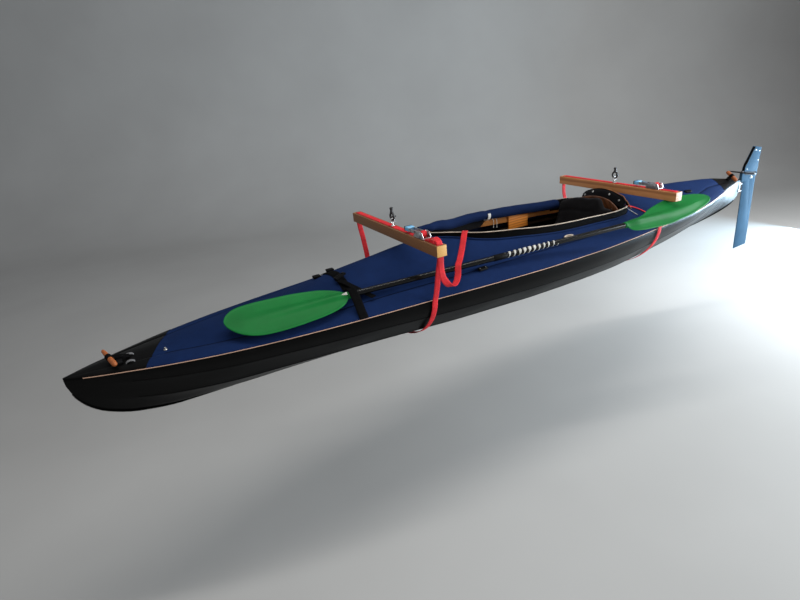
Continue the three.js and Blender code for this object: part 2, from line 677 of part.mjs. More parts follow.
// Webbing strap across the foredeck over the throat of the paddle
function buildPaddleStrap() {
  const x = PADDLE_STRAP_X;
  const half = PADDLE_STRAP_WIDTH / 2;
  const paddleY = PADDLE_FORE.y + 3.5;
  const high = PADDLE_FORE.z + SHAFT_RADIUS + 3;
  const path = [];
  for (const y of spread(-150, 268, 28)) {
    const lift = high - deckHeight(x, paddleY) - 0.4;
    const hump = lift * Math.exp(-(((y - paddleY) / 44) ** 4));
    path.push(new THREE.Vector3(x, y, deckHeight(x, y) + 2.3 + hump));
  }
  const across = (i) => {
    const y = path[i].y;
    return new THREE.Vector3(2 * half, 0, (deckHeight(x + half, y) - deckHeight(x - half, y)) * 0.9);
  };
  add("paddle_strap", strip(path, across, PADDLE_STRAP_WIDTH, 2.4, false), "webbing");
  const buckle = box(-24, 24, -25, 25, -5, 5);
  buckle.rotateY(0.33);
  buckle.rotateX(-0.26);
  buckle.translate(x, 48, deckHeight(x, 48) + 14.1);
  add("paddle_strap_buckle", buckle, "black");
}

// Wooden carrying toggles, each held by a webbing loop that ends on the middle of the toggle
function buildEnds() {
  for (const { name, ends, radii, anchor, rise, lift, width } of TOGGLES) {
    const [a, b] = ends.map((p) => new THREE.Vector3(...p));
    add(`${name}_toggle`, rod([a, b], (t) => radii[0] + (radii[1] - radii[0]) * t, 10, false), "wood");
    const middle = a.clone().lerp(b, 0.5);
    const start = new THREE.Vector3(...anchor, deckHeight(...anchor) + rise);
    const grain = b.clone().sub(a).normalize();
    const pull = start.clone().sub(middle);
    pull.addScaledVector(grain, -pull.dot(grain)).normalize();
    const end = middle.clone().addScaledVector(pull, (radii[0] + radii[1]) / 2 + 2 * GAP);
    const bend = start.clone().lerp(end, 0.5).add(new THREE.Vector3(0, 0, lift));
    add(`${name}_toggle_loop`, strip([start, bend, end], grain, width, 3, false), "webbing");
  }
}

// Stern gudgeon, steering head with cheeks and yoke, and the lifting blade
function buildRudder() {
  const disc = (radius, z0, z1, sides) => {
    const g = new THREE.CylinderGeometry(radius, radius, z1 - z0, sides);
    g.rotateX(Math.PI / 2);
    g.translate(PINTLE_X, 0, (z0 + z1) / 2);
    return g;
  };
  const bracket = join(
    box(STERN_X - 4, STERN_X - GAP, -7, 7, -62, 6),
    box(PINTLE_X, STERN_X - 2, -7, 7, -12, -6), disc(10, -12, -6, 24),
    box(PINTLE_X, STERN_X - 2, -7, 7, -60, -54), disc(10, -60, -54, 24),
  );
  add("rudder_bracket", cut(bracket, disc(PINTLE_RADIUS + 0.4, -70, 20, 24)), "zinc");
  const rear = PINTLE_X - 6;
  const cheek = [
    [rear - 2, 4], [rear - 14, 4], [-2190, 23], [-2191, 137], [-2195, 210], [-2123, 226], [-2080, 160],
    [-2041, 100], [rear - 2, 72],
  ];
  const head = join(
    plateXZ(cheek, CHEEK_OFFSET - CHEEK_PLATE, CHEEK_OFFSET),
    plateXZ(cheek, -CHEEK_OFFSET, -CHEEK_OFFSET + CHEEK_PLATE),
    box(rear - 12, PINTLE_X + 9, -CHEEK_OFFSET, CHEEK_OFFSET, 4, YOKE_Z),
    disc(PINTLE_RADIUS, -66, 6, 16),
  );
  add("rudder_head", head, "rudderPaint");
  const bar = box(PINTLE_X - 6, PINTLE_X + 14, -86, 86, YOKE_Z + GAP, YOKE_Z + 6);
  add("rudder_yoke", join(bar, disc(7, YOKE_Z + GAP, YOKE_Z + 12, 16)), "steel");
  const blade = [
    [-2052, 38], [-2066, 50], [-2180, 50], [-2194, 30], [-2215, -474], [-2071, -480],
  ];
  const hole = new THREE.CylinderGeometry(4.4, 4.4, 40, 16);
  hole.translate(BLADE_PIN.x, 0, BLADE_PIN.z);
  const plate = plateXZ(blade, -RUDDER_PLATE / 2, RUDDER_PLATE / 2);
  add("rudder_blade", cut(plate, hole), "rudderPaint");
  const pin = new THREE.CylinderGeometry(4, 4, 2 * CHEEK_OFFSET - 2 * CHEEK_PLATE - 2 * GAP, 16);
  pin.translate(BLADE_PIN.x, 0, BLADE_PIN.z);
  add("rudder_blade_pin", pin, "steel");
}

// One sling: bar, closed strap loop under the hull, ratchet, screw eye and the hook of the hoist
function buildSling({ name, x, top, tuck, hang }) {
  const low = top - BAR_SIDE;
  const bar = box(x - BAR_SIDE / 2, x + BAR_SIDE / 2, -BAR_HALF_LENGTH, BAR_HALF_LENGTH, low, top);
  const post = (radius, z0, z1, sides) => {
    const g = new THREE.CylinderGeometry(radius, radius, z1 - z0, sides);
    g.rotateX(Math.PI / 2);
    g.translate(x, 0, (z0 + z1) / 2);
    return g;
  };
  const bore = post(EYE_SHANK + GAP + 0.1, top - 28, top + 10, 24);
  const slots = [-1, 1].map((side) => {
    const [from, to] = SLOT_Y.map((y) => side * y).sort((p, q) => p - q);
    return box(x - SLOT_LENGTH / 2, x + SLOT_LENGTH / 2, from, to, low - 5, top + 5);
  });
  add(`sling_bar_${name}`, cut(bar, bore, ...slots), "pine");
  const away = STRAP_THICK / 2 + GAP;
  const half = [[0, top + away], [STRAP_Y, top + away], [STRAP_Y, low - 2]];
  const section = (turn) => {
    const p = hullPoint(x, turn, 0);
    const q = hullPoint(x, turn - 0.01, 0);
    const n = new THREE.Vector2(p.z - q.z, -(p.y - q.y)).normalize();
    return [p.y + n.x * (away + 7.5), p.z + n.y * (away + 7.5)];
  };
  for (const turn of [0.97, 0.9, 0.8, 0.7, 0.6, 0.5, 0.4, 0.3, 0.2, 0.1]) half.push(section(turn));
  const keel = along(LINES, "keel", x) - away - 4.9;
  const path = [];
  for (const [y, z] of half.slice(0, 3)) path.push(new THREE.Vector3(x, y, z));
  for (const [y, z] of tuck) path.push(new THREE.Vector3(x, y, z));
  for (const [y, z] of half.slice(3)) path.push(new THREE.Vector3(x, y, z));
  path.push(new THREE.Vector3(x, 0, keel));
  for (const [y, z] of half.slice(3).reverse()) path.push(new THREE.Vector3(x, -y, z));
  for (const [y, z] of [...hang].reverse()) path.push(new THREE.Vector3(x, y, z));
  for (const [y, z] of half.slice(1, 3).reverse()) path.push(new THREE.Vector3(x, -y, z));
  const webbing = strip(path, new THREE.Vector3(1, 0, 0), STRAP_WIDTH, STRAP_THICK, true);
  add(`sling_strap_${name}`, cut(webbing, bore), "redWebbing");
  const lift = top + STRAP_THICK + 2 * GAP;
  const roller = new THREE.CylinderGeometry(11, 11, 36, 16);
  roller.rotateZ(Math.PI / 2);
  roller.translate(x, 262, lift + 16);
  const ratchet = join(
    box(x - 19, x - 16, 214, 290, lift, lift + 30), box(x + 16, x + 19, 214, 290, lift, lift + 30),
    box(x - 19, x + 19, 214, 226, lift, lift + 8), box(x - 19, x + 19, 280, 290, lift, lift + 8), roller,
    box(x - 15, x - 12, 150, 262, lift + 10, lift + 26), box(x + 12, x + 15, 150, 262, lift + 10, lift + 26),
    box(x - 17, x + 17, 138, 152, lift + 8, lift + 28),
  );
  add(`ratchet_${name}`, ratchet, "zinc");
  const hookRing = top + HOIST_RING_RISE - 17;
  const eyeRing = hookRing - (HOOK_RING + EYE_RING - HOOK_TUBE - EYE_TUBE - GAP);
  const eye = new THREE.TorusGeometry(EYE_RING, EYE_TUBE, 8, 20);
  eye.rotateX(Math.PI / 2);
  eye.translate(x, 0, eyeRing);
  const shank = post(EYE_SHANK, top - 27, eyeRing - EYE_RING, 16);
  add(`hoist_eye_${name}`, join(eye, shank, post(10, lift, lift + 2, 20)), "zinc");
  const ring = new THREE.TorusGeometry(HOOK_RING, HOOK_TUBE, 10, 20);
  ring.rotateY(Math.PI / 2);
  ring.translate(x, 0, hookRing);
  const hook = join(ring, box(x - 5, x + 5, -7, 7, top + HOIST_RING_RISE - 6, top + HOIST_RING_RISE + 24));
  add(`hoist_hook_${name}`, hook, "black");
}

// Loose end of the front strap: humps out of the ratchet into the bar's slot, hangs in a loop,
// comes up over the paddle shaft and drops over the coaming into the cockpit
function buildStrapTail() {
  const { x, top } = SLINGS[0];
  const path = new THREE.CatmullRomCurve3([
    [x, 294, top + 6], [x, 318, top + 13], [x, 345, top + 21], [x, 367, top + 18], [x, 380, top + 6],
    [x, TAIL_Y, top - 6], [x, TAIL_Y, top - 50], [x, 383.6, 150],
    [624, 388, 118], [604, 384, 88], [576, 366, 66],
    [546, 342, 57], [514, 314, 60], [489, 288, 78], [473, 267, 100], [460, 252, 105.5],
    [446, 239, 110], [384, 176, 146], [330, 118, 182], [316, 102, 186], [304, 90, 184],
    [293, 79, 170], [287, 72, 146],
  ].map((p) => new THREE.Vector3(...p)), false, "centripetal").getPoints(60);
  const across = (i) => {
    const turn = THREE.MathUtils.smoothstep(i, 20, 36);
    return new THREE.Vector3(1 - 0.31 * turn, -0.72 * turn, 0);
  };
  add("strap_tail", strip(path, across, STRAP_WIDTH, TAIL_THICK, false), "redWebbing");
}

buildHull();
buildDeck();
buildCoaming();
buildRearOfCockpit();
buildFrame();
buildSeat();
buildCover();
buildPaddle();
buildPaddleStrap();
buildEnds();
buildRudder();
SLINGS.forEach(buildSling);
buildStrapTail();

const hoist = SLINGS[0];
for (const piece of kayak.children) {
  piece.geometry.translate(-hoist.x, 0, -(hoist.top + HOIST_RING_RISE + 24));
}

export default kayak;
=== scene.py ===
"""Dressing of a folding kayak that hangs in two wooden-bar slings.

All sizes in the builders are millimetres in the boat's own frame: +X bow, +Y port, +Z up, with
the origin amidships between the gunwales. place() turns them into metres in the shared frame,
whose origin is the front hoist point.
"""
import math

import bmesh
import bpy
import numpy as np
from mathutils import Matrix, Vector, noise


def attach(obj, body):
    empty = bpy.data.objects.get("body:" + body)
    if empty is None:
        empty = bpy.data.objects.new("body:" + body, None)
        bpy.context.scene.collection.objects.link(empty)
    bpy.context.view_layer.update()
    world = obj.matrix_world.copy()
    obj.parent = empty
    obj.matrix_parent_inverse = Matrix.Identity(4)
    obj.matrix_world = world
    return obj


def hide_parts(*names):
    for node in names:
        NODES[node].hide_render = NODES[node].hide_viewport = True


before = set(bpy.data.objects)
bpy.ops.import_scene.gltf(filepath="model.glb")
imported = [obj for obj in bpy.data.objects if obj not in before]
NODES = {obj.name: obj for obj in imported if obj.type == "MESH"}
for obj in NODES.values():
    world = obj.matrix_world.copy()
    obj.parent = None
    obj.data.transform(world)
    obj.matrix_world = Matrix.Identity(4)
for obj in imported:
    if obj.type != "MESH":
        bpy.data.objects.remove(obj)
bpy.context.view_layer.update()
HOIST_X, HOIST_Z = 629.0, 343.0
SIDES = ((1, "port"), (-1, "starboard"))


# Camera, solved from the photo in the shared frame

CAMERA_AT = (1.00367, 1.99657, 0.51094)
CAMERA_RIGHT = Vector((-0.871602, 0.481359, -0.09276))
CAMERA_DOWN = Vector((0.265428, 0.30432, -0.914843))
CAMERA_AHEAD = Vector((-0.412139, -0.822, -0.393011))
LENS, SENSOR = 23.123, 36.0
NEAR, FAR = 0.05, 60


def make_camera():
    data = bpy.data.cameras.new("camera")
    data.sensor_width = SENSOR
    data.lens = LENS
    data.clip_start = NEAR
    data.clip_end = FAR
    cam = bpy.data.objects.new("camera", data)
    turn = Matrix((CAMERA_RIGHT, -CAMERA_DOWN, -CAMERA_AHEAD)).transposed()
    cam.matrix_world = Matrix.Translation(CAMERA_AT) @ turn.to_4x4()
    bpy.context.scene.collection.objects.link(cam)
    bpy.context.scene.camera = cam


make_camera()


# Lines of the boat, the same tables as the solids

LINES = [  # x and the columns named below
    (2000, 5, 3, 2.0, -44, 1.15), (1985, 13, 5, 2.0, -98, 1.15), (1950, 32, 9, 2.0, -150, 1.15),
    (1900, 55, 14, 2.0, -188, 1.17), (1800, 95, 20, 2.0, -226, 1.2), (1650, 150, 27, 2.0, -247, 1.3),
    (1450, 206, 36, 2.0, -249, 1.42), (1250, 244, 50, 1.95, -247, 1.45), (1050, 271, 78, 1.8, -244, 1.52),
    (850, 290, 122, 1.55, -243, 1.6), (620, 308, 158, 1.4, -245, 1.72), (475, 321, 174, 1.38, -247, 1.76),
    (250, 337, 207, 1.34, -249, 1.78), (0, 347, 238, 1.32, -251, 1.83), (-300, 344, 226, 1.3, -251, 1.84),
    (-550, 326, 205, 1.3, -250, 1.82), (-750, 303, 148, 1.4, -245, 1.73), (-950, 281, 134, 1.5, -238, 1.6),
    (-1150, 252, 122, 1.5, -228, 1.48), (-1350, 205, 108, 1.5, -214, 1.38),
    (-1570, 140, 86, 1.5, -193, 1.27), (-1700, 96, 68, 1.5, -177, 1.22), (-1820, 56, 45, 1.6, -159, 1.18),
    (-1920, 27, 26, 1.8, -137, 1.15), (-1980, 11, 12, 2.0, -112, 1.15), (-2012, 6, 6, 2.0, -88, 1.15),
]
HALF, CROWN, PEAK, KEEL, BILGE = 1, 2, 3, 4, 5
OPENING = [  # x, half width of the cockpit opening
    (475, 8), (430, 38), (340, 90), (265, 130), (120, 178), (-16, 204), (-150, 214), (-284, 217),
    (-420, 216), (-544, 210), (-640, 192), (-700, 162), (-745, 104), (-760, 40),
]
BOW_X, STERN_X = 2000, -2012
BOW_SHEER, STERN_SHEER = -16, 13
HULL_WALL = 3
DECK_ABOVE_SHEER = 3.3
RAIL_REAR_X = -628
RAIL_THICK = 10
RAIL_BELOW = 42
RAIL_ABOVE_FRONT, RAIL_RISE_AFT = 18, 13
SEAM_INBOARD, EDGE_BULGE = 70, 17
BOW_PATCH_X, STERN_PATCH_X = 1672, -1685
PATCH_SLANT, PATCH_FADE = 0.41, 250


def hermite(t, start, leave, end, arrive):
    """Cubic from start to end as t goes from 0 to 1, with the slopes leave and arrive at its ends."""
    return ((2 * t ** 3 - 3 * t ** 2 + 1) * start + (t ** 3 - 2 * t ** 2 + t) * leave
            + (3 * t ** 2 - 2 * t ** 3) * end + (t ** 3 - t ** 2) * arrive)


def along(table, col, x):
    """Smooth curve through one column of a table whose x falls from row to row."""
    last = len(table) - 1
    if x >= table[0][0]:
        return table[0][col]
    if x <= table[last][0]:
        return table[last][col]
    i = 0
    while table[i + 1][0] > x:
        i += 1

    def slope(k):
        return (table[k + 1][col] - table[k][col]) / (table[k + 1][0] - table[k][0])

    def tangent(k):
        if k == 0:
            return slope(0)
        if k == last:
            return slope(last - 1)
        a, b = slope(k - 1), slope(k)
        return 0 if a * b <= 0 else 2 * a * b / (a + b)

    h = table[i + 1][0] - table[i][0]
    t = (x - table[i][0]) / h
    return hermite(t, table[i][col], h * tangent(i), table[i + 1][col], h * tangent(i + 1))


def half_width(x):
    return along(LINES, HALF, x)


def opening_half(x):
    return along(OPENING, 1, x)


def sheer(x):
    """Height of the gunwale."""
    return (BOW_SHEER if x > 0 else STERN_SHEER) * (abs(x) / BOW_X) ** 2.2


def seam_inboard(x):
    return min(SEAM_INBOARD, 0.45 * half_width(x))


def deck_height(x, y):
    """Height of the deck without the sag of its canvas."""
    half = half_width(x)
    share = min(1.0, abs(y) / half)
    inboard = min(1.0, max(0.0, (half - abs(y)) / seam_inboard(x)))
    arc = math.sqrt(1 - (1 - inboard) ** 2) - inboard
    bulge = EDGE_BULGE * seam_inboard(x) / SEAM_INBOARD * arc
    crown = along(LINES, CROWN, x) * (1 - share ** along(LINES, PEAK, x))
    return sheer(x) + DECK_ABOVE_SHEER + bulge + crown


def smooth(a, b, v):
    """Eases from 0 to 1 as v goes from a to b."""
    t = min(1.0, max(0.0, (v - a) / (b - a)))
    return t * t * (3 - 2 * t)


def rail_top(x):
    rise = RAIL_RISE_AFT * smooth(-475, -60, -x)
    return deck_height(x, opening_half(x)) + RAIL_ABOVE_FRONT + rise


def wobble(x, y, z, scale, seed=0.0):
    """Smooth noise from -1 to 1 at a place; scale is the size of its lumps."""
    return noise.noise(Vector((x / scale + seed, y / scale - seed, z / scale + 7.3 * seed)))


# Mesh helpers

def place(points):
    """Boat millimetres to metres in the shared frame."""
    p = np.asarray(points, float).reshape(-1, 3)
    return (p - (HOIST_X, 0.0, HOIST_Z)) / 1000.0


def make(name, points, faces, material, body="kayak", uvs=None, stands_for=(), slot=None):
    """Smooth object from points in boat millimetres; uvs is one pair of metres for each point."""
    me = bpy.data.meshes.new(name)
    me.from_pydata([tuple(p) for p in place(points)], [], [tuple(f) for f in faces])
    me.materials.append(material)
    if uvs is not None:
        layer = me.uv_layers.new(name="UVMap")
        loops = np.zeros(len(me.loops), np.int64)
        me.loops.foreach_get("vertex_index", loops)
        layer.data.foreach_set("uv", np.asarray(uvs, float)[loops].ravel())
    me.polygons.foreach_set("use_smooth", [True] * len(me.polygons))
    me.validate()
    me.update()
    ob = bpy.data.objects.new(name, me)
    bpy.context.scene.collection.objects.link(ob)
    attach(ob, body)
    if stands_for:
        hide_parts(*stands_for)
    return ob


def grid_faces(nu, nv, close_u=False, close_v=False, start=0):
    faces = []
    for i in range(nu if close_u else nu - 1):
        for j in range(nv if close_v else nv - 1):
            a, b = i * nv + j, ((i + 1) % nu) * nv + j
            c, d = ((i + 1) % nu) * nv + (j + 1) % nv, i * nv + (j + 1) % nv
            faces.append((start + a, start + b, start + c, start + d))
    return faces


def flipped(face, flip=True):
    """Face turned over by taking its corners the other way round."""
    return tuple(reversed(face)) if flip else face


def run_lengths(points):
    """Distance along a line of points at each of them, 0 at the first."""
    steps = np.linalg.norm(np.diff(np.asarray(points, float), axis=0), axis=1)
    return np.concatenate([[0], np.cumsum(steps)])


def grid_uvs(lengthwise, across):
    """UV pairs in metres for a grid of points; across is one row for all of it, or a row for each place."""
    pairs = np.broadcast_arrays(lengthwise[:, None], np.atleast_2d(across))
    return np.stack(pairs, -1).reshape(-1, 2) / 1000


def shell(name, outer, inner, material, **options):
    """Thin closed skin between two equal grids of points."""
    outer, inner = np.asarray(outer, float), np.asarray(inner, float)
    nu, nv, _ = outer.shape
    n = nu * nv
    faces = grid_faces(nu, nv)
    faces += [flipped(f) for f in grid_faces(nu, nv, start=n)]
    for i in range(nu - 1):
        for j, flip in ((0, False), (nv - 1, True)):
            a, b = i * nv + j, (i + 1) * nv + j
            faces.append(flipped((a, n + a, n + b, b), flip))
    for j in range(nv - 1):
        for i, flip in ((0, True), (nu - 1, False)):
            a, b = i * nv + j, i * nv + j + 1
            faces.append(flipped((a, n + a, n + b, b), flip))
    lengthwise = np.mean([run_lengths(outer[:, j]) for j in range(nv)], axis=0)
    uv = grid_uvs(lengthwise, [run_lengths(line) for line in outer])
    points = np.vstack([outer.reshape(-1, 3), inner.reshape(-1, 3)])
    return finish_normals(make(name, points, faces, material, uvs=np.vstack([uv, uv]), **options))


def finish_normals(ob, sharp_deg=50):
    """Faces outwards, shaded smooth with crisp edges where the surface folds."""
    bm = bmesh.new()
    bm.from_mesh(ob.data)
    bmesh.ops.remove_doubles(bm, verts=bm.verts, dist=2e-6)
    bmesh.ops.recalc_face_normals(bm, faces=bm.faces)
    for e in bm.edges:
        e.smooth = not (len(e.link_faces) == 2 and e.calc_face_angle(0) > math.radians(sharp_deg))
    bm.to_mesh(ob.data)
    bm.free()
    return ob


def frames(path, side):
    """Unit tangent, side and up at each point; side is a vector, a list of them, or None if it is round."""
    p = np.asarray(path, float)
    t = np.gradient(p, axis=0)
    t /= np.linalg.norm(t, axis=1)[:, None]
    if side is None:
        s = np.cross(t[0], (0, 0, 1.0))
        if np.linalg.norm(s) < 0.1:
            s = np.cross(t[0], (0, 1.0, 0))
        sides = [s / np.linalg.norm(s)]
        for k in range(1, len(p)):
            v = sides[-1] - t[k] * np.dot(sides[-1], t[k])
            sides.append(v / np.linalg.norm(v))
        s = np.array(sides)
    else:
        s = np.asarray(side, float)
        if s.ndim == 1:
            s = np.repeat(s[None], len(p), 0)
        s = s - t * np.sum(s * t, 1)[:, None]
        s /= np.linalg.norm(s, axis=1)[:, None]
    return t, s, np.cross(s, t)


def sweep(name, path, section, material, side=None, closed=False, scale=None, sharp=50, **options):
    """Closed section (side, up pairs in mm) carried along a path; scale(k, n) grows it on the way."""
    p, sec = np.asarray(path, float), np.asarray(section, float)
    n, m = len(p), len(sec)
    if closed:
        wrap = np.vstack([p[-1:], p, p[:1]])
        _, s, u = (a[1:-1] for a in frames(wrap, side))
    else:
        _, s, u = frames(p, side)
    grow = np.array([scale(k, n) if scale else 1.0 for k in range(n)])[:, None, None]
    pts = p[:, None] + s[:, None] * (sec[None, :, 0:1] * grow) + u[:, None] * (sec[None, :, 1:2] * grow)
    faces = grid_faces(n, m, close_u=closed, close_v=True)
    if not closed:
        faces.append(tuple(range(m)))
        faces.append(tuple(reversed(range((n - 1) * m, n * m))))
    uv = grid_uvs(run_lengths(p), run_lengths(sec))
    return finish_normals(make(name, pts.reshape(-1, 3), faces, material, uvs=uv, **options), sharp)


def loft(name, rings, material, sharp=50, **options):
    """Closed body through rings of equally many points."""
    rings = np.asarray(rings, float)
    n, m, _ = rings.shape
    faces = grid_faces(n, m, close_v=True) + [tuple(range(m)), tuple(range((n - 1) * m, n * m))]
    uv = grid_uvs(run_lengths(rings[:, 0]), run_lengths(rings[n // 2]))
    return finish_normals(make(name, rings.reshape(-1, 3), faces, material, uvs=uv, **options), sharp)


def round_angles(count):
    return [2 * math.pi * k / count for k in range(count)]


def circle(radius, count=16):
    return [(radius * math.cos(a), radius * math.sin(a)) for a in round_angles(count)]


def rounded(width, height, r, steps=3):
    """Rounded rectangle as a closed section."""
    out = []
    for cx, cy, a0 in ((1, 1, 0), (-1, 1, 90), (-1, -1, 180), (1, -1, 270)):
        for k in range(steps + 1):
            a = math.radians(a0 + 90 * k / steps)
            out.append((cx * (width / 2 - r) + r * math.cos(a), cy * (height / 2 - r) + r * math.sin(a)))
    return out


def webbing_section(width, thick):
    """Flat strap with rounded selvedges and enough points across to carry the weave."""
    r = thick / 2
    half = width / 2 - r
    top = [(v, r) for v in np.linspace(half, -half, 5)]
    left = [(-half - r * 0.9, 0)]
    low = [(v, -r) for v in np.linspace(-half, half, 5)]
    return top + left + low + [(half + r * 0.9, 0)]


def free_cord(name, path, section, material, width, far_end, stiffness, lay, **options):
    """Swept tube or strap that follows these points."""
    ob = sweep(name, path, section, material, **options)


def knotted(k, n):
    """Growth of a thin cord that ends in a knot."""
    return 1.5 if k > n - 3 else 1.0


def spline(points, count, closed=False):
    """Evenly spaced points on a Catmull-Rom curve through the given ones."""
    p = np.asarray(points, float)
    n = len(p)
    out = []
    for i in range(n if closed else n - 1):
        if closed:
            a, b, c, d = p[(i - 1) % n], p[i], p[(i + 1) % n], p[(i + 2) % n]
        else:
            b, c = p[i], p[i + 1]
            a = p[i - 1] if i else 2 * b - c
            d = p[i + 2] if i + 2 < n else 2 * c - b
        l0, l1, l2 = (max(1e-6, np.linalg.norm(q)) ** 0.5 for q in (b - a, c - b, d - c))
        leave = (c - b) + l1 * ((b - a) / l0 - (c - a) / (l0 + l1))
        arrive = (c - b) + l1 * ((d - c) / l2 - (d - b) / (l1 + l2))
        out += [hermite(t, b, leave, c, arrive) for t in np.linspace(0, 1, 24, endpoint=False)]
    out = np.array(out + [p[0] if closed else p[-1]])
    s = run_lengths(out)
    want = np.linspace(0, s[-1], count + 1 if closed else count)
    res = np.stack([np.interp(want, s, out[:, k]) for k in range(3)], 1)
    return res[:-1] if closed else res


def rotation(axis_x, axis_z):
    """3x3 whose columns are x along axis_x and z near axis_z."""
    x = Vector(axis_x).normalized()
    y = Vector(axis_z).cross(x).normalized()
    return Matrix((x, y, x.cross(y))).transposed()


def box_bmesh(size):
    """Sharp box about the origin."""
    bm = bmesh.new()
    bmesh.ops.create_cube(bm, size=1)
    for v in bm.verts:
        v.co = Vector((v.co.x * size[0], v.co.y * size[1], v.co.z * size[2]))
    return bm


def bmesh_parts(bm, centre, turn):
    """Points and faces of a bmesh, turned and moved to its centre. The bmesh is freed."""
    bm.verts.index_update()
    pts = [turn @ v.co + Vector(centre) for v in bm.verts]
    faces = [[v.index for v in f.verts] for f in bm.faces]
    bm.free()
    return pts, faces


def block(name, size, centre, material, turn=None, bevel=1.0, segments=2, **options):
    """Box with rounded edges."""
    bm = box_bmesh(size)
    bmesh.ops.bevel(bm, geom=list(bm.edges), offset=bevel, segments=segments, affect="EDGES", profile=0.6)
    return from_bmesh(name, bm, centre, material, turn, **options)


def from_bmesh(name, bm, centre, material, turn=None, sharp=50, **options):
    """Object from a bmesh in millimetres about its own centre."""
    pts, faces = bmesh_parts(bm, centre, turn or Matrix.Identity(3))
    return finish_normals(make(name, pts, faces, material, **options), sharp)


def turned(name, profile, centre, axis, material, count=28, sharp=40, **options):
    """Solid of revolution; profile is rows of (distance along the axis, radius) from cap to cap."""
    z = Vector(axis).normalized()
    x = z.orthogonal().normalized()
    y = z.cross(x)
    pts = []
    for h, r in profile:
        pts += [Vector(centre) + z * h + x * a + y * b for a, b in circle(r, count)]
    faces = grid_faces(len(profile), count, close_v=True)
    faces.append(tuple(reversed(range(count))))
    faces.append(tuple(range((len(profile) - 1) * count, len(profile) * count)))
    return finish_normals(make(name, pts, faces, material, **options), sharp)


def join(name, *obs):
    """One object of several that ride on the same body."""
    bpy.ops.object.select_all(action="DESELECT")
    for o in obs:
        o.select_set(True)
    bpy.context.view_layer.objects.active = obs[0]
    with bpy.context.temp_override(active_object=obs[0], selected_objects=list(obs),
                                   selected_editable_objects=list(obs)):
        bpy.ops.object.join()
    obs[0].name = name
    obs[0].data.name = name
    return obs[0]


# Materials

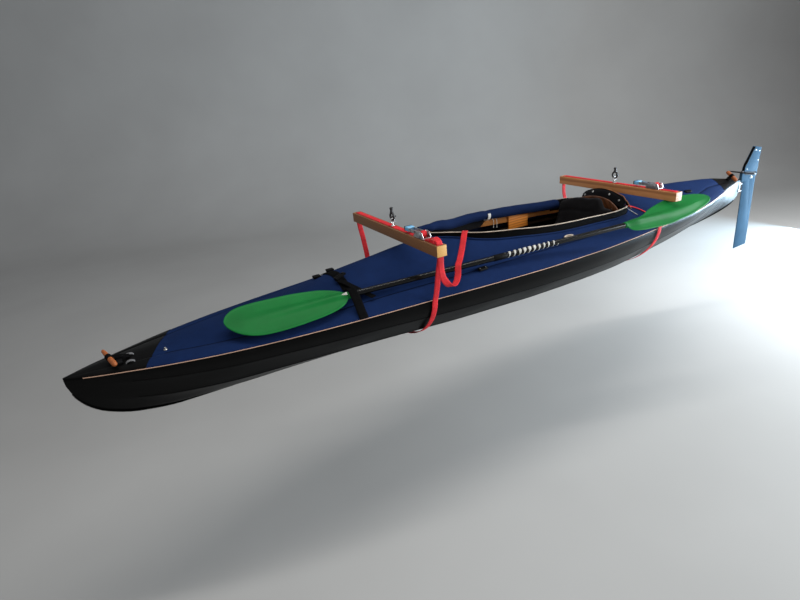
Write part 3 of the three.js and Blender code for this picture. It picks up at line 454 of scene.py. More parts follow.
class Paint:
    """A procedural material that is built up in steps."""

    def __init__(self, name, colour, rough, metal=0.0, specular=0.5):
        self.m = bpy.data.materials.new(name)
        self.m.use_nodes = True
        self.nt = self.m.node_tree
        self.b = self.nt.nodes["Principled BSDF"]
        self.b.inputs["Base Color"].default_value = (*colour, 1)
        self.b.inputs["Roughness"].default_value = rough
        self.b.inputs["Metallic"].default_value = metal
        self.b.inputs["Specular IOR Level"].default_value = specular
        self.normal = None
        self.coords = self.nt.nodes.new("ShaderNodeTexCoord")

    def node(self, kind, **values):
        n = self.nt.nodes.new(kind)
        for k, v in values.items():
            setattr(n, k, v)
        return n

    def link(self, a, b):
        self.nt.links.new(a, b)

    def mapped(self, scale=(1, 1, 1), rotate=(0, 0, 0)):
        n = self.node("ShaderNodeMapping")
        n.inputs["Scale"].default_value = scale
        n.inputs["Rotation"].default_value = rotate
        self.link(self.coords.outputs["Object"], n.inputs["Vector"])
        return n.outputs[0]

    def noise(self, vector, scale, detail=4.0, rough=0.55, distort=0.0):
        n = self.node("ShaderNodeTexNoise")
        n.inputs["Scale"].default_value = scale
        n.inputs["Detail"].default_value = detail
        n.inputs["Roughness"].default_value = rough
        n.inputs["Distortion"].default_value = distort
        self.link(vector, n.inputs["Vector"])
        return n.outputs["Fac"]

    def ramp(self, fac, stops):
        n = self.node("ShaderNodeValToRGB")
        els = n.color_ramp.elements
        while len(els) > 1:
            els.remove(els[-1])
        els[0].position = stops[0][0]
        els[0].color = (*stops[0][1], 1)
        for pos, col in stops[1:]:
            els.new(pos).color = (*col, 1)
        self.link(fac, n.inputs["Fac"])
        return n.outputs["Color"]

    def math(self, op, *values):
        n = self.node("ShaderNodeMath", operation=op)
        for socket, v in zip(n.inputs, values):
            if isinstance(v, (int, float)):
                socket.default_value = v
            else:
                self.link(v, socket)
        return n.outputs[0]

    def split(self, vector):
        """X, Y and Z of a vector by name."""
        n = self.node("ShaderNodeSeparateXYZ")
        self.link(vector, n.inputs[0])
        return n.outputs

    def mix(self, fac, a, b):
        n = self.node("ShaderNodeMix", data_type="RGBA")
        for socket, v in ((n.inputs[0], fac), (n.inputs[6], a), (n.inputs[7], b)):
            if isinstance(v, (int, float)):
                socket.default_value = v
            elif isinstance(v, tuple):
                socket.default_value = (*v, 1)
            else:
                self.link(v, socket)
        return n.outputs[2]

    def set_colour(self, out):
        self.link(out, self.b.inputs["Base Color"])
        return self

    def set_rough(self, fac, low, high):
        n = self.node("ShaderNodeMapRange")
        n.inputs["To Min"].default_value = low
        n.inputs["To Max"].default_value = high
        self.link(fac, n.inputs["Value"])
        self.link(n.outputs[0], self.b.inputs["Roughness"])
        return self

    def bump(self, height, distance, strength=1.0):
        n = self.node("ShaderNodeBump")
        n.inputs["Distance"].default_value = distance
        n.inputs["Strength"].default_value = strength
        self.link(height, n.inputs["Height"])
        if self.normal is not None:
            self.link(self.normal, n.inputs["Normal"])
        self.normal = n.outputs["Normal"]
        self.link(self.normal, self.b.inputs["Normal"])
        return self

    def weave(self, pitch_u, pitch_v, twill=0.0):
        """Height of a cloth weave from the UV map, which is in metres."""
        at = self.split(self.coords.outputs["UV"])
        u = self.math("MULTIPLY", at["X"], 2 * math.pi / pitch_u)
        v = self.math("MULTIPLY", at["Y"], 2 * math.pi / pitch_v)
        if twill:
            v = self.math("ADD", v, self.math("MULTIPLY", u, twill))
        a = self.math("SINE", u)
        b = self.math("SINE", v)
        return self.math("MULTIPLY_ADD", self.math("MULTIPLY", a, b), 0.5, 0.5)

    def sheen(self, amount, tint=(1, 1, 1), rough=0.5):
        self.b.inputs["Sheen Weight"].default_value = amount
        self.b.inputs["Sheen Roughness"].default_value = rough
        self.b.inputs["Sheen Tint"].default_value = (*tint, 1)
        return self

    def coat(self, amount, rough=0.15):
        self.b.inputs["Coat Weight"].default_value = amount
        self.b.inputs["Coat Roughness"].default_value = rough
        return self


def shade(c, k):
    return tuple(min(1.0, v * k) for v in c)


def rubber_paint():
    p = Paint("hull_rubber", (0.003, 0.003, 0.0031), 0.34, specular=0.06)
    o = p.mapped()
    big = p.noise(o, 3.5, 5, 0.6)
    fine = p.noise(o, 900, 2, 0.5)
    smear = p.noise(p.mapped(scale=(1, 6, 9)), 6, 6, 0.65, 0.4)
    clean, dull, dusty = (0.002, 0.002, 0.0021), (0.003, 0.003, 0.0029), (0.008, 0.0076, 0.0072)
    dust = p.ramp(smear, [(0.45, clean), (0.62, dull), (0.8, dusty)])
    p.set_colour(p.mix(0.5, dust, p.ramp(big, [(0.3, clean), (0.75, (0.0042, 0.0041, 0.004))])))
    p.set_rough(p.mix(0.5, big, smear), 0.24, 0.44)
    return p.bump(fine, 0.0002, 0.25).bump(big, 0.004, 0.18).m


def canvas_paint(name="deck_canvas", tint=(0.0062, 0.0168, 0.062)):
    p = Paint(name, tint, 0.85, specular=0.03)
    o = p.mapped()
    big = p.noise(o, 2.4, 5, 0.6, 0.3)
    mid = p.noise(o, 24, 4, 0.6)
    speck = p.noise(o, 520, 2, 0.6)
    cloth = p.weave(0.0013, 0.0013)
    base = p.ramp(big, [(0.3, shade(tint, 0.78)), (0.52, tint), (0.72, shade(tint, 1.22))])
    worn = p.ramp(mid, [(0.35, shade(tint, 0.85)), (0.7, shade(tint, 1.3))])
    col = p.mix(0.4, base, worn)
    lint = p.math("GREATER_THAN", speck, 0.73)
    col = p.mix(p.math("MULTIPLY", lint, 0.22), col, shade(tint, 3.0))
    p.set_colour(p.mix(p.math("MULTIPLY", cloth, 0.28), col, shade(tint, 0.45)))
    p.set_rough(mid, 0.72, 0.9)
    p.sheen(0.015, (0.4, 0.55, 1.0), 0.45)
    return p.bump(cloth, 0.0003, 0.5).bump(mid, 0.0012, 0.25).m


def cloth_paint(name, tint, pitch=0.0016, rough=0.85, sheen=0.06, sheen_tint=(0.6, 0.6, 0.65)):
    p = Paint(name, tint, rough, specular=0.03)
    o = p.mapped()
    mid = p.noise(o, 18, 5, 0.6)
    cloth = p.weave(pitch, pitch)
    base = p.ramp(mid, [(0.32, shade(tint, 0.65)), (0.6, tint), (0.78, shade(tint, 1.7))])
    p.set_colour(p.mix(p.math("MULTIPLY", cloth, 0.3), base, shade(tint, 0.4)))
    p.set_rough(mid, rough - 0.08, rough + 0.08)
    p.sheen(sheen, sheen_tint)
    return p.bump(cloth, 0.0004, 0.6).bump(p.noise(o, 60, 4, 0.6), 0.0015, 0.35).m


def webbing_paint(name, tint, rough=0.6, specular=0.15):
    """Woven strap: fine ribs across and a row of longer floats along."""
    p = Paint(name, tint, rough, specular=specular)
    o = p.mapped()
    rib = p.weave(0.0022, 0.0034, 1.0)
    tooth = p.weave(0.0044, 0.0017)
    mid = p.noise(o, 30, 4, 0.6)
    base = p.ramp(mid, [(0.3, shade(tint, 0.7)), (0.55, tint), (0.8, shade(tint, 1.25))])
    p.set_colour(p.mix(p.math("MULTIPLY", rib, 0.4), base, shade(tint, 0.4)))
    p.set_rough(mid, rough - 0.1, rough + 0.1)
    p.sheen(0.05, shade(tint, 2.2))
    return p.bump(rib, 0.0005, 0.6).bump(tooth, 0.0003, 0.4).m


def wood_paint(name, dark, light, grain="X", rough=0.4, coat=0.0, ring=300.0, ends=None):
    """Straight grain along one axis, with rings round a pith off to one side; ends colours the end grain."""
    p = Paint(name, light, rough, specular=0.45)
    stretch = {"X": (0.06, 1, 1), "Y": (1, 0.06, 1), "Z": (1, 1, 0.06)}[grain]
    v = p.mapped(scale=stretch)
    sway = p.noise(v, 14, 4, 0.6)
    fibre = p.noise(v, 240, 3, 0.6)
    at = p.split(v)
    a, b = {"X": ("Y", "Z"), "Y": ("X", "Z"), "Z": ("X", "Y")}[grain]
    da = p.math("ADD", at[a], 0.031)
    db = p.math("ADD", at[b], 0.047)
    r = p.math("SQRT", p.math("ADD", p.math("MULTIPLY", da, da), p.math("MULTIPLY", db, db)))
    phase = p.math("ADD", p.math("MULTIPLY", r, ring * 2 * math.pi), p.math("MULTIPLY", sway, 7.0))
    rings = p.math("MULTIPLY_ADD", p.math("SINE", phase), 0.5, 0.5)
    col = p.ramp(rings, [(0.0, light), (0.6, light), (0.92, dark), (1.0, shade(dark, 0.8))])
    col = p.mix(p.math("MULTIPLY", fibre, 0.55), col, shade(dark, 0.9))
    blotch = p.noise(p.mapped(), 5, 3, 0.5)
    col = p.mix(p.math("MULTIPLY", blotch, 0.35), col, shade(light, 0.62))
    if ends:
        facing = p.split(p.coords.outputs["Normal"])
        on_end = p.math("GREATER_THAN", p.math("ABSOLUTE", facing[grain]), 0.7)
        sawn = p.ramp(rings, [(0.0, ends[1]), (0.55, ends[1]), (1.0, ends[0])])
        col = p.mix(on_end, col, p.mix(p.math("MULTIPLY", fibre, 0.3), sawn, shade(ends[0], 0.8)))
    p.set_colour(col)
    p.set_rough(fibre, rough - 0.08, rough + 0.14)
    if coat:
        p.coat(coat, 0.18)
    return p.bump(fibre, 0.0006, 0.3).bump(rings, 0.0002, 0.2).m


def plastic_paint(name, tint, rough=0.35, subsurface=0.0, speck=0.2, specular=0.4):
    p = Paint(name, tint, rough, specular=specular)
    o = p.mapped()
    big = p.noise(o, 6, 4, 0.6)
    scratch = p.noise(p.mapped(scale=(1, 9, 1), rotate=(0, 0, 0.4)), 120, 5, 0.7, 0.6)
    p.set_colour(p.ramp(big, [(0.3, shade(tint, 1 - speck)), (0.7, shade(tint, 1 + speck))]))
    p.set_rough(scratch, rough - 0.1, rough + 0.2)
    if subsurface:
        p.b.inputs["Subsurface Weight"].default_value = subsurface
        p.b.inputs["Subsurface Radius"].default_value = (0.004, 0.012, 0.005)
        p.b.inputs["Subsurface Scale"].default_value = 1.0
    return p.bump(scratch, 0.0002, 0.25).m


def metal_paint(name, tint, rough=0.35, metal=1.0, wear=(0.25, 0.24, 0.23)):
    p = Paint(name, tint, rough, metal)
    o = p.mapped()
    mid = p.noise(o, 45, 5, 0.6)
    fine = p.noise(o, 420, 3, 0.6)
    p.set_colour(p.ramp(mid, [(0.34, wear), (0.48, tint), (0.75, shade(tint, 1.15))]))
    p.set_rough(fine, rough - 0.1, rough + 0.15)
    return p.bump(fine, 0.0003, 0.3).m


def old_paint(name, tint, chip, rough=0.6):
    """Old paint on sheet metal: cloudy, scratched and a little chalky."""
    p = Paint(name, tint, rough, specular=0.02)
    o = p.mapped()
    cloud = p.noise(o, 5, 5, 0.65)
    streak = p.noise(p.mapped(scale=(6, 1, 0.6)), 40, 5, 0.7, 0.5)
    spots = p.noise(o, 160, 4, 0.7)
    base = p.ramp(cloud, [(0.3, shade(tint, 0.75)), (0.55, tint), (0.75, shade(tint, 1.2))])
    base = p.mix(p.math("MULTIPLY", p.math("GREATER_THAN", streak, 0.66), 0.25), base, shade(tint, 1.6))
    base = p.mix(p.math("MULTIPLY", p.math("GREATER_THAN", spots, 0.74), 0.6), base, chip)
    p.set_colour(base)
    p.set_rough(cloud, rough - 0.1, rough + 0.15)
    return p.bump(spots, 0.0002, 0.3).bump(cloud, 0.002, 0.1).m


RUBBER = rubber_paint()
CANVAS = canvas_paint()
ROLL_CANVAS = canvas_paint("roll_canvas", (0.0045, 0.0115, 0.042))
PIPING = plastic_paint("copper_piping", (0.45, 0.28, 0.2), 0.5, speck=0.12, specular=0.2)
CREAM = cloth_paint("cream_welt", (0.54, 0.45, 0.36), 0.0012, 0.75, 0.1, (1, 1, 1))
BLACK_CLOTH = cloth_paint("black_cloth", (0.006, 0.006, 0.0068))
BAND_CLOTH = cloth_paint("coaming_band", (0.0026, 0.0026, 0.003), 0.0014, 0.85, 0.0)
SEAT_CLOTH = cloth_paint("seat_cloth", (0.006, 0.0056, 0.006), 0.002, 0.9, 0.08)
RED_WEB = webbing_paint("red_webbing", (0.62, 0.022, 0.03))
BLACK_WEB = webbing_paint("black_webbing", (0.0035, 0.0035, 0.0038), 0.85, 0.03)
# seam tape: the deck's navy painted much darker, as painted shade in the crease
SEAM_SHADE_CANVAS = canvas_paint("seam_painted_shade", (0.0022, 0.0048, 0.016))
TAN_BINDING = cloth_paint("tan_binding", (0.36, 0.15, 0.07), 0.0012, 0.8, 0.0)
GREY_WEB = webbing_paint("grey_webbing", (0.14, 0.14, 0.145), 0.7)
VARNISHED = wood_paint("varnished_ash", (0.24, 0.085, 0.018), (0.46, 0.19, 0.05), "X", 0.32, 0.5, 180)
# near-black ash of the gunwale stringers: painted shade for the dark inside of the hull
STRINGER_SHADE_WOOD = wood_paint("ash_painted_shade", (0.03, 0.014, 0.006), (0.07, 0.033, 0.014), "X", 0.7, 0.0, 180)
PANEL_WOOD = wood_paint("plywood_panel", (0.5, 0.15, 0.012), (0.84, 0.29, 0.028), "X", 0.5, 0.0, 90)
BROWN_WOOD = wood_paint("dark_plywood", (0.055, 0.018, 0.006), (0.17, 0.062, 0.024), "Y", 0.3, 0.6, 120)
# Both bars are the same pine; the front one is painted much darker, as painted shade, since it gets less
# light than the rear one.
BAR_WOOD_LIT_AND_SHADED = {
    "front": wood_paint("bar_front_painted_shade", (0.13, 0.052, 0.017), (0.27, 0.12, 0.045), "Y", 0.55, 0.0, 260,
                        ((0.42, 0.22, 0.06), (0.72, 0.40, 0.11))),
    "rear": wood_paint("bar_side_rear", (0.32, 0.125, 0.04), (0.62, 0.27, 0.1), "Y", 0.5, 0.0, 260,
                       ((0.5, 0.3, 0.2), (0.72, 0.5, 0.36))),
}
TOGGLE_WOOD = wood_paint("toggle_wood", (0.2, 0.048, 0.007), (0.38, 0.1, 0.016), "Y", 0.6, 0.0, 240)
GREEN = plastic_paint("green_blade", (0.0045, 0.128, 0.024), 0.45, 0.03, 0.14, specular=0.12)
SHAFT_BLACK = plastic_paint("shaft_black", (0.003, 0.003, 0.0028), 0.13, speck=0.1, specular=0.26)
BLACK_PLASTIC = plastic_paint("black_plastic", (0.0045, 0.0045, 0.005), 0.5, speck=0.2, specular=0.06)
WHITE_TAPE = cloth_paint("white_tape", (0.60, 0.59, 0.55), 0.0012, 0.7, 0.1, (1, 1, 1))
BLUE_GRIP = plastic_paint("blue_grip", (0.16, 0.40, 0.62), 0.4, 0.1, 0.15)
ZINC = metal_paint("zinc", (0.62, 0.62, 0.63), 0.36)
DARK_STEEL = metal_paint("dark_steel", (0.10, 0.10, 0.11), 0.4, 1.0, (0.06, 0.055, 0.05))
FORGED = metal_paint("black_hook", (0.03, 0.03, 0.032), 0.38, 0.6, (0.015, 0.015, 0.015))
NICKEL = metal_paint("nickel", (0.42, 0.41, 0.39), 0.38)
RUDDER_PAINT = old_paint("rudder_paint", (0.026, 0.063, 0.107), (0.08, 0.10, 0.12))


# Hull

def hull_point(x, turn, inset):
    """(y, z) of the skin at one station; turn runs from 1 at the port gunwale over 0 at the keel to -1."""
    top, half = sheer(x), half_width(x)
    depth = top - along(LINES, KEEL, x)
    power = 2 / along(LINES, BILGE, x)
    angle = (1 - abs(turn)) * math.pi / 2
    wide = max(half - inset, half * 0.35)
    deep = max(depth - inset, depth * 0.6)
    side = math.copysign(1, turn) if turn else 0
    return side * wide * math.cos(angle) ** power, top - deep * math.sin(angle) ** power


def stations():
    """Places of the skin's sections from bow to stern, close together at both ends."""
    xs = [2000, 1998, 1995, 1991, 1986, 1980, 1972, 1962, 1950, 1936, 1920, 1900]
    xs += list(np.arange(1878, -1880, -22.0))
    xs += [-1895, -1912, -1928, -1942, -1955, -1967, -1978, -1988, -1997, -2005, STERN_X]
    return xs


UPPER_SEAM, LOWER_SEAM = 0.74, 0.46
STRINGERS = (1.0, UPPER_SEAM, LOWER_SEAM, 0.2, 0.0)
FRAMES_AT = (1500, 960, 380, 20, -470, -860, -1330)
KEEL_BAND = ((-8, 1.2), (-6, -0.9), (-3, -1.9), (0, -2.2), (3, -1.9), (6, -0.9), (8, 1.2))


def sag(x, turn):
    """How far the tight skin lies in from the stringers and frames it is stretched over, in mm."""
    full = smooth(20, 200, half_width(x))
    a = abs(turn)
    between = 0.0
    for hi, lo in zip(STRINGERS, STRINGERS[1:]):
        if lo <= a <= hi:
            between = math.sin(math.pi * (hi - a) / (hi - lo)) ** 1.2
            if hi == 1.0:
                between *= -0.55
    gap = min(abs(x - f) for f in FRAMES_AT)
    lengthwise = smooth(0, 160, gap)
    upper = 1.2 * math.exp(-((a - UPPER_SEAM) / 0.035) ** 2)
    lower = 1.5 * math.exp(-((a - LOWER_SEAM) / 0.03) ** 2)
    ripple = wobble(x, turn * 200, 0, 160, 3.1)
    return full * (between * (2.4 + 2.2 * lengthwise) - upper - lower + ripple)


def build_hull():
    xs = stations()
    turns = np.linspace(1, -1, 97)
    outer, inner = [], []
    for x in xs:
        outer.append([(x, *hull_point(x, t, sag(x, t))) for t in turns])
        inner.append([(x, *hull_point(x, t, HULL_WALL + max(0, sag(x, t)))) for t in turns])
    shell("hull", outer, inner, RUBBER, stands_for=("hull_skin",), slot="rubber")
    run = []
    for x in xs:
        if -1978 <= x <= 1991:
            slope = (along(LINES, KEEL, x + 1) - along(LINES, KEEL, x - 1)) / 2
            out = np.array((slope, 0, -1)) / math.hypot(slope, 1)
            run.append(np.array((x, 0, along(LINES, KEEL, x))) + out)
    sweep("keel_band", run, KEEL_BAND, RUBBER, side=(0, 1, 0), stands_for=("keel_strip",), slot="rubber",
          sharp=70, scale=lambda k, n: 0.35 + 0.65 * min(1.0, k / 9, (n - 1 - k) / 9))
    for side, word in SIDES:
        run = [(x, side * (half_width(x) + 1.7), sheer(x) + 2.2) for x in xs if -1960 <= x <= 1943]
        sweep(f"piping_{word}", run, circle(1.6, 10), PIPING, stands_for=(f"gunwale_piping_{word}",),
              slot="piping")
        # cloth strip inside, over the joint of the skin and the deck
        run = [(x, side * (half_width(x) - 4.4), sheer(x) + 0.5) for x in np.arange(900, -1000, -20.0)]
        sweep(f"gunwale_lining_{word}", run, rounded(1.0, 12, 0.4, 2), BLACK_CLOTH, side=(0, 1, 0),
              slot="black_fabric")
        # two taped seams of the skin, along the stringers
        for level, wide, where in ((UPPER_SEAM, 7.0, "upper"), (LOWER_SEAM, 9.0, "lower")):
            tape, sides = [], []
            for x in xs:
                if -1750 <= x <= 1800:
                    y, z = hull_point(x, side * level, sag(x, level) - 0.5)
                    y2, z2 = hull_point(x, side * (level + 0.02), sag(x, level))
                    tape.append((x, y, z))
                    sides.append((0, y2 - y, z2 - z))
            sweep(f"seam_{where}_{word}", tape, rounded(wide, 1.4, 0.6, 2), RUBBER, side=np.array(sides),
                  slot="rubber")


# Deck

OPEN_FRONT, OPEN_CORNER, OPEN_REAR = 475, -740, -762
FOLDS = ((60, 0.34), (100, 0.5), (150, 0.75))  # distance from the ridge, slope outwards
CANVAS_THICK, CAP_THICK = 1.6, 2.6


def canvas_opening(x):
    """Half width of the hole in the canvas, which has a round rear end."""
    if x > OPEN_FRONT or x < OPEN_REAR:
        return 0.0
    if x < OPEN_CORNER:
        share = max(0, (x - OPEN_REAR) / (OPEN_CORNER - OPEN_REAR))
        return opening_half(OPEN_CORNER) * math.sqrt(share)
    return opening_half(x)


def deck_skin(x, y):
    """Canvas height with the crease at the seam and soft tension between the frames."""
    half = half_width(x)
    d = half - abs(y)
    c = seam_inboard(x)
    full = smooth(25, 110, half)
    z = deck_height(x, y)
    z -= full * 2.6 * math.exp(-((d - c) / 6.0) ** 2)
    inside = smooth(c, c + 60, d)
    gap = min(abs(x - f) for f in FRAMES_AT)
    z -= full * inside * 2.6 * smooth(0, 170, gap) * (1 - math.exp(-(abs(y) / 60.0) ** 2) * 0.8)
    z += full * inside * 1.3 * wobble(x, y, 0, 140, 1.7)
    # tension folds that run off the front corners of the cockpit
    if 300 < x < 900:
        high = full * inside * 1.5 * smooth(880, 520, x) * smooth(300, 430, x)
        for out, slope in FOLDS:
            line = abs(y) - out - (x - 420) * slope
            z += high * math.exp(-(line / 14.0) ** 2)
    return z


def on_deck(points):
    """Boat points from rows of (x, y, height over the canvas)."""
    return [(x, y, deck_skin(x, y) + lift) for x, y, lift in points]


def smooth_steps(count):
    """Shares from 0 to 1 that crowd towards both ends."""
    return 0.5 - 0.5 * np.cos(np.linspace(0, math.pi, count))


def deck_columns(x, side):
    """Widths of the canvas points at one station, close together at the crease."""
    half, edge, c = half_width(x), canvas_opening(x), seam_inboard(x)
    near = [0, 0.015, 0.05, 0.1, 0.18, 0.28, 0.4, 0.55, 0.7, 0.82, 0.9, 0.95, 1.0, 1.05, 1.1, 1.18, 1.3]
    ds = [c * f for f in near]
    rest = np.linspace(ds[-1], half - edge, 25)[1:]
    return [side * (half - d) for d in ds + list(rest)]


def build_deck():
    build_canvas()
    # rubber ends laid over the canvas; the edge of the one at the bow runs slanting over the deck
    for name, start, end, slant, stands in (("bow_cap", BOW_PATCH_X, BOW_X, PATCH_SLANT, "bow_patch"),
                                            ("stern_cap", STERN_PATCH_X, STERN_X, 0.0, "stern_patch")):
        outer = []
        for f in np.linspace(0, 1, 40) ** 0.85:
            x0 = start + (end - start) * f
            lean = slant * max(0.0, 1 - abs(x0 - start) / PATCH_FADE)
            line = []
            for share in 1 - 2 * smooth_steps(49):
                x = x0 + lean * share * half_width(x0)
                line.append((x, share * half_width(x), CAP_THICK / 2))
            outer.append(on_deck(line))
        outer = np.array(outer)
        shell(name, outer, outer - (0, 0, CAP_THICK), RUBBER, stands_for=(stands,), slot="rubber")
    # stitched seam in the crease, both sides, its tape painted far darker than the deck as painted shade in
    # the crease
    for side, word in SIDES:
        run = on_deck([(x, side * (half_width(x) - seam_inboard(x)), 0.35)
                       for x in np.arange(1660, -1700, -20.0)])
        sweep(f"deck_seam_{word}", run, rounded(6.5, 1.2, 0.5, 2), SEAM_SHADE_CANVAS, side=(0, 1, 0),
              slot="canvas")


def build_canvas():
    """All four deck pieces as one canvas with the cockpit cut out."""
    xs = list(np.arange(1747, 480, -16.0)) + [478, 475.5] + list(np.arange(474, -740, -12.0))
    xs += [-744, -749, -753, -756, -758.5, -760.3, -761.4, -761.95, -762.5, -772]
    xs += list(np.arange(-788, -1700, -16.0)) + [-1700]
    pts, faces, uvs = [], [], []
    for x in xs:
        ys = deck_columns(x, 1) + list(reversed(deck_columns(x, -1)))
        line = on_deck([(x, y, 0) for y in ys])
        pts += line
        uvs += [(x / 1000, run / 1000) for run in run_lengths(line)]
    count = len(ys)
    half = count // 2
    is_open = [canvas_opening(x) > 0 for x in xs]
    n = len(pts)

    def wall(a, b):
        faces.append((a, b, n + b, n + a))

    for layer in (0, 1):
        for i in range(len(xs) - 1):
            for j in range(count - 1):
                if j == half - 1 and is_open[i] and is_open[i + 1]:
                    continue
                a, b = layer * n + i * count + j, layer * n + (i + 1) * count + j
                faces.append(flipped((a, b, b + 1, a + 1), layer == 1))
    for i in range(len(xs) - 1):
        edges = (0, count - 1)
        if is_open[i] and is_open[i + 1]:
            edges += (half - 1, half)
        for j in edges:
            wall(i * count + j, (i + 1) * count + j)
    for j in range(count - 1):
        for i in (0, len(xs) - 1):
            wall(i * count + j, i * count + j + 1)
    under = [(x, y, z - CANVAS_THICK) for x, y, z in pts]
    ob = make("deck", pts + under, faces, CANVAS, uvs=uvs + uvs,
              stands_for=("foredeck", "afterdeck", "side_deck_port", "side_deck_starboard"), slot="canvas")
    finish_normals(ob, 60)


# Coaming

REAR_END_X = -716
BAND_FOOT = -5.0
SNAP = ((0, 0.4), (0, 6.0), (1.2, 6.2), (2.0, 5.2), (2.2, 2.8), (1.7, 1.8), (1.7, 0.4))
BOARD_SCREW = ((0, 0.3), (0, 4.6), (1.0, 4.2), (1.5, 2.0), (1.5, 0.3))
SMALL_SCREW = ((0, 0.3), (0, 3.6), (1, 3.4), (1.6, 1.8), (1.6, 0.3))


def rail_line(x):
    """(half width, top) of the coaming, carried on past the wooden rails to the collar."""
    y = opening_half(x)
    if x >= RAIL_REAR_X:
        return y, rail_top(x)
    t = smooth(-RAIL_REAR_X, -REAR_END_X, -x)
    end = deck_height(REAR_END_X, opening_half(REAR_END_X)) + 10
    return y, (1 - t) * rail_top(RAIL_REAR_X) + t * end


def rail_foot(x):
    """Lower edge of a wooden rail."""
    return deck_height(x, opening_half(x)) - RAIL_BELOW


def build_coaming():
    rail_xs = list(np.arange(474, -628, -14.0)) + [RAIL_REAR_X]
    xs = rail_xs + list(np.arange(-640, -716, -12.0)) + [REAR_END_X]
    for side, word in SIDES:
        build_rail(rail_xs, side, word)
        build_band(xs, side, word)
    block("coaming_nose", (46, 36, 26), (480, 0, deck_height(486, 0) + 9), BAND_CLOTH, bevel=9, segments=5,
          slot="rubber")
    # black cloth folded over the rear end of the starboard rail
    rings = []
    for x in list(np.arange(-500, -628, -10.0)) + [-627]:
        top, foot = rail_top(x) + 2.6, rail_foot(x) + 14
        y, z = opening_half(x) - RAIL_THICK / 2, (top + foot) / 2
        rings.append([(x, -(y + a), z + b + 0.5 * wobble(x, a * 9, b, 30))
                      for a, b in rounded(RAIL_THICK + 2.4, top - foot, 4.6, 4)])
    loft("rail_sleeve", rings, BLACK_CLOTH, slot="black_fabric")
    # black cloth over the inner face of the starboard rail, from the tie to the front: a dark sheet that
    # stands in for the shade under the roll
    rings = []
    for x in np.arange(-76, 424, 12.0):
        top = rail_top(x) - 1
        tall = max(3.0, (top - rail_foot(x) + 1) * smooth(-84, 26, x))
        y = -(opening_half(x) - min(RAIL_THICK, opening_half(x) - 1) - 0.3)
        rings.append([(x, y + a, top - tall / 2 + b) for a, b in rounded(2.4, tall, 1.0, 3)])
    loft("rail_shade_lining", rings, BLACK_CLOTH, slot="black_fabric")


def build_rail(xs, side, word):
    rings = []
    for x in xs:
        top, foot = rail_top(x), rail_foot(x)
        thick = min(RAIL_THICK, opening_half(x) - 1)
        y0 = opening_half(x) - thick / 2
        sec = rounded(thick - 0.4, top - foot, min(3.2, thick * 0.3), 3)
        rings.append([(x, side * (y0 + a), (top + foot) / 2 + b) for a, b in sec])
    loft(f"coaming_rail_{word}.wood", rings, VARNISHED, stands_for=(f"coaming_rail_{word}",),
         slot="varnished_wood")


def build_band(xs, side, word):
    """Black band outside the rail, with a cream welt along its top and a hem stitched to the deck."""
    outer, inner, welt, hem = [], [], [], []
    for x in xs:
        y, top = rail_line(x)
        foot = deck_height(x, y) + BAND_FOOT
        high = top - 2.0
        col_o, col_i = [], []
        for v in np.linspace(0, 1, 11):
            z = foot + (high - foot) * v
            flare = 4.5 * (1 - v) ** 3 + 0.8 * math.sin(math.pi * v)
            ripple = 0.7 * wobble(x, side * 50 + v * 60, 0, 46, 5.0) * (1 - 0.5 * v)
            col_o.append((x, side * (y + 2.6 + flare + ripple), z))
            col_i.append((x, side * (y + 0.5 + flare * 0.9 + ripple), z))
        outer.append(col_o)
        inner.append(col_i)
        welt.append((x, side * (y + 0.6), top + 0.9))
        hem.append((x, side * (y + 9.0), deck_skin(x, side * (y + 8.0)) + 2.4))
    shell(f"coaming_band_{word}", outer, inner, BAND_CLOTH, stands_for=(f"coaming_skirt_{word}",),
          slot="rubber")
    sec = [(a * 2.8, b * 2.0) for a, b in circle(1.0, 14)]
    sweep(f"coaming_welt_{word}", spline(welt, 150), sec, CREAM, side=(0, 1, 0), slot="piping")
    sweep(f"coaming_hem_{word}", hem, rounded(8, 7, 3.0, 3), CANVAS, side=(0, 1, 0), slot="canvas")


COLLAR_HALF = 147
COLLAR_STEPS = 22
BOARD_HALF, BOARD_LOW = 186.9, 98
REAR_TAPE = (  # x, y, height over the canvas
    (-722, 134, 9), (-738, 140, 8), (-766, 147, 3.5), (-786, 165, 3), (-800, 185, 3), (-812, 206, 3),
    (-818, 226, 3),
)
REAR_THREAD = (
    (-700, 150, 14), (-712, 158, 7), (-722, 168, 3.2), (-727, 180, 3.0), (-731, 194, 3.0),
    (-738, 204, 3.0),
)


def collar_rows(y, thick):
    """Points of the collar at one width, from its lower front edge over the crest to its foot aft."""
    edge = -760.0
    while opening_half(edge) < abs(y) and edge < RAIL_REAR_X:
        edge += 0.5
    back = -690 - 18 * (y / COLLAR_HALF) ** 2
    foot = min(edge - 5, back - 24)
    crest = 190 - 20 * (abs(y) / 100) ** 1.6 - (16 if y > 0 else 7) * smooth(118, COLLAR_HALF, abs(y))
    low = min(deck_height(-700, max(abs(y), 60)) - 4, crest - 26)
    seat = deck_height(foot, y) + 0.6
    rise = max(0.0, crest - seat - 4)
    top = seat + 4 + rise
    return [
        (back + 21 - thick, y, low),
        (back + 6 - thick, y, top - 6 - thick * 0.3),
        (back - 12, y, top - thick),
        ((back - 12 + foot) / 2, y, top - 0.4 * rise - thick),
        (foot, y, seat + 4 - thick),
    ]


def collar_column(y, thick=0):
    """Curve over the collar at one width; thick is how far it lies in from the outer face."""
    return spline(collar_rows(y, thick), COLLAR_STEPS)


def board_x(y):
    """The board in front of the collar bends aft in its middle."""
    return -614 - 50 * (1 - (y / BOARD_HALF) ** 2)


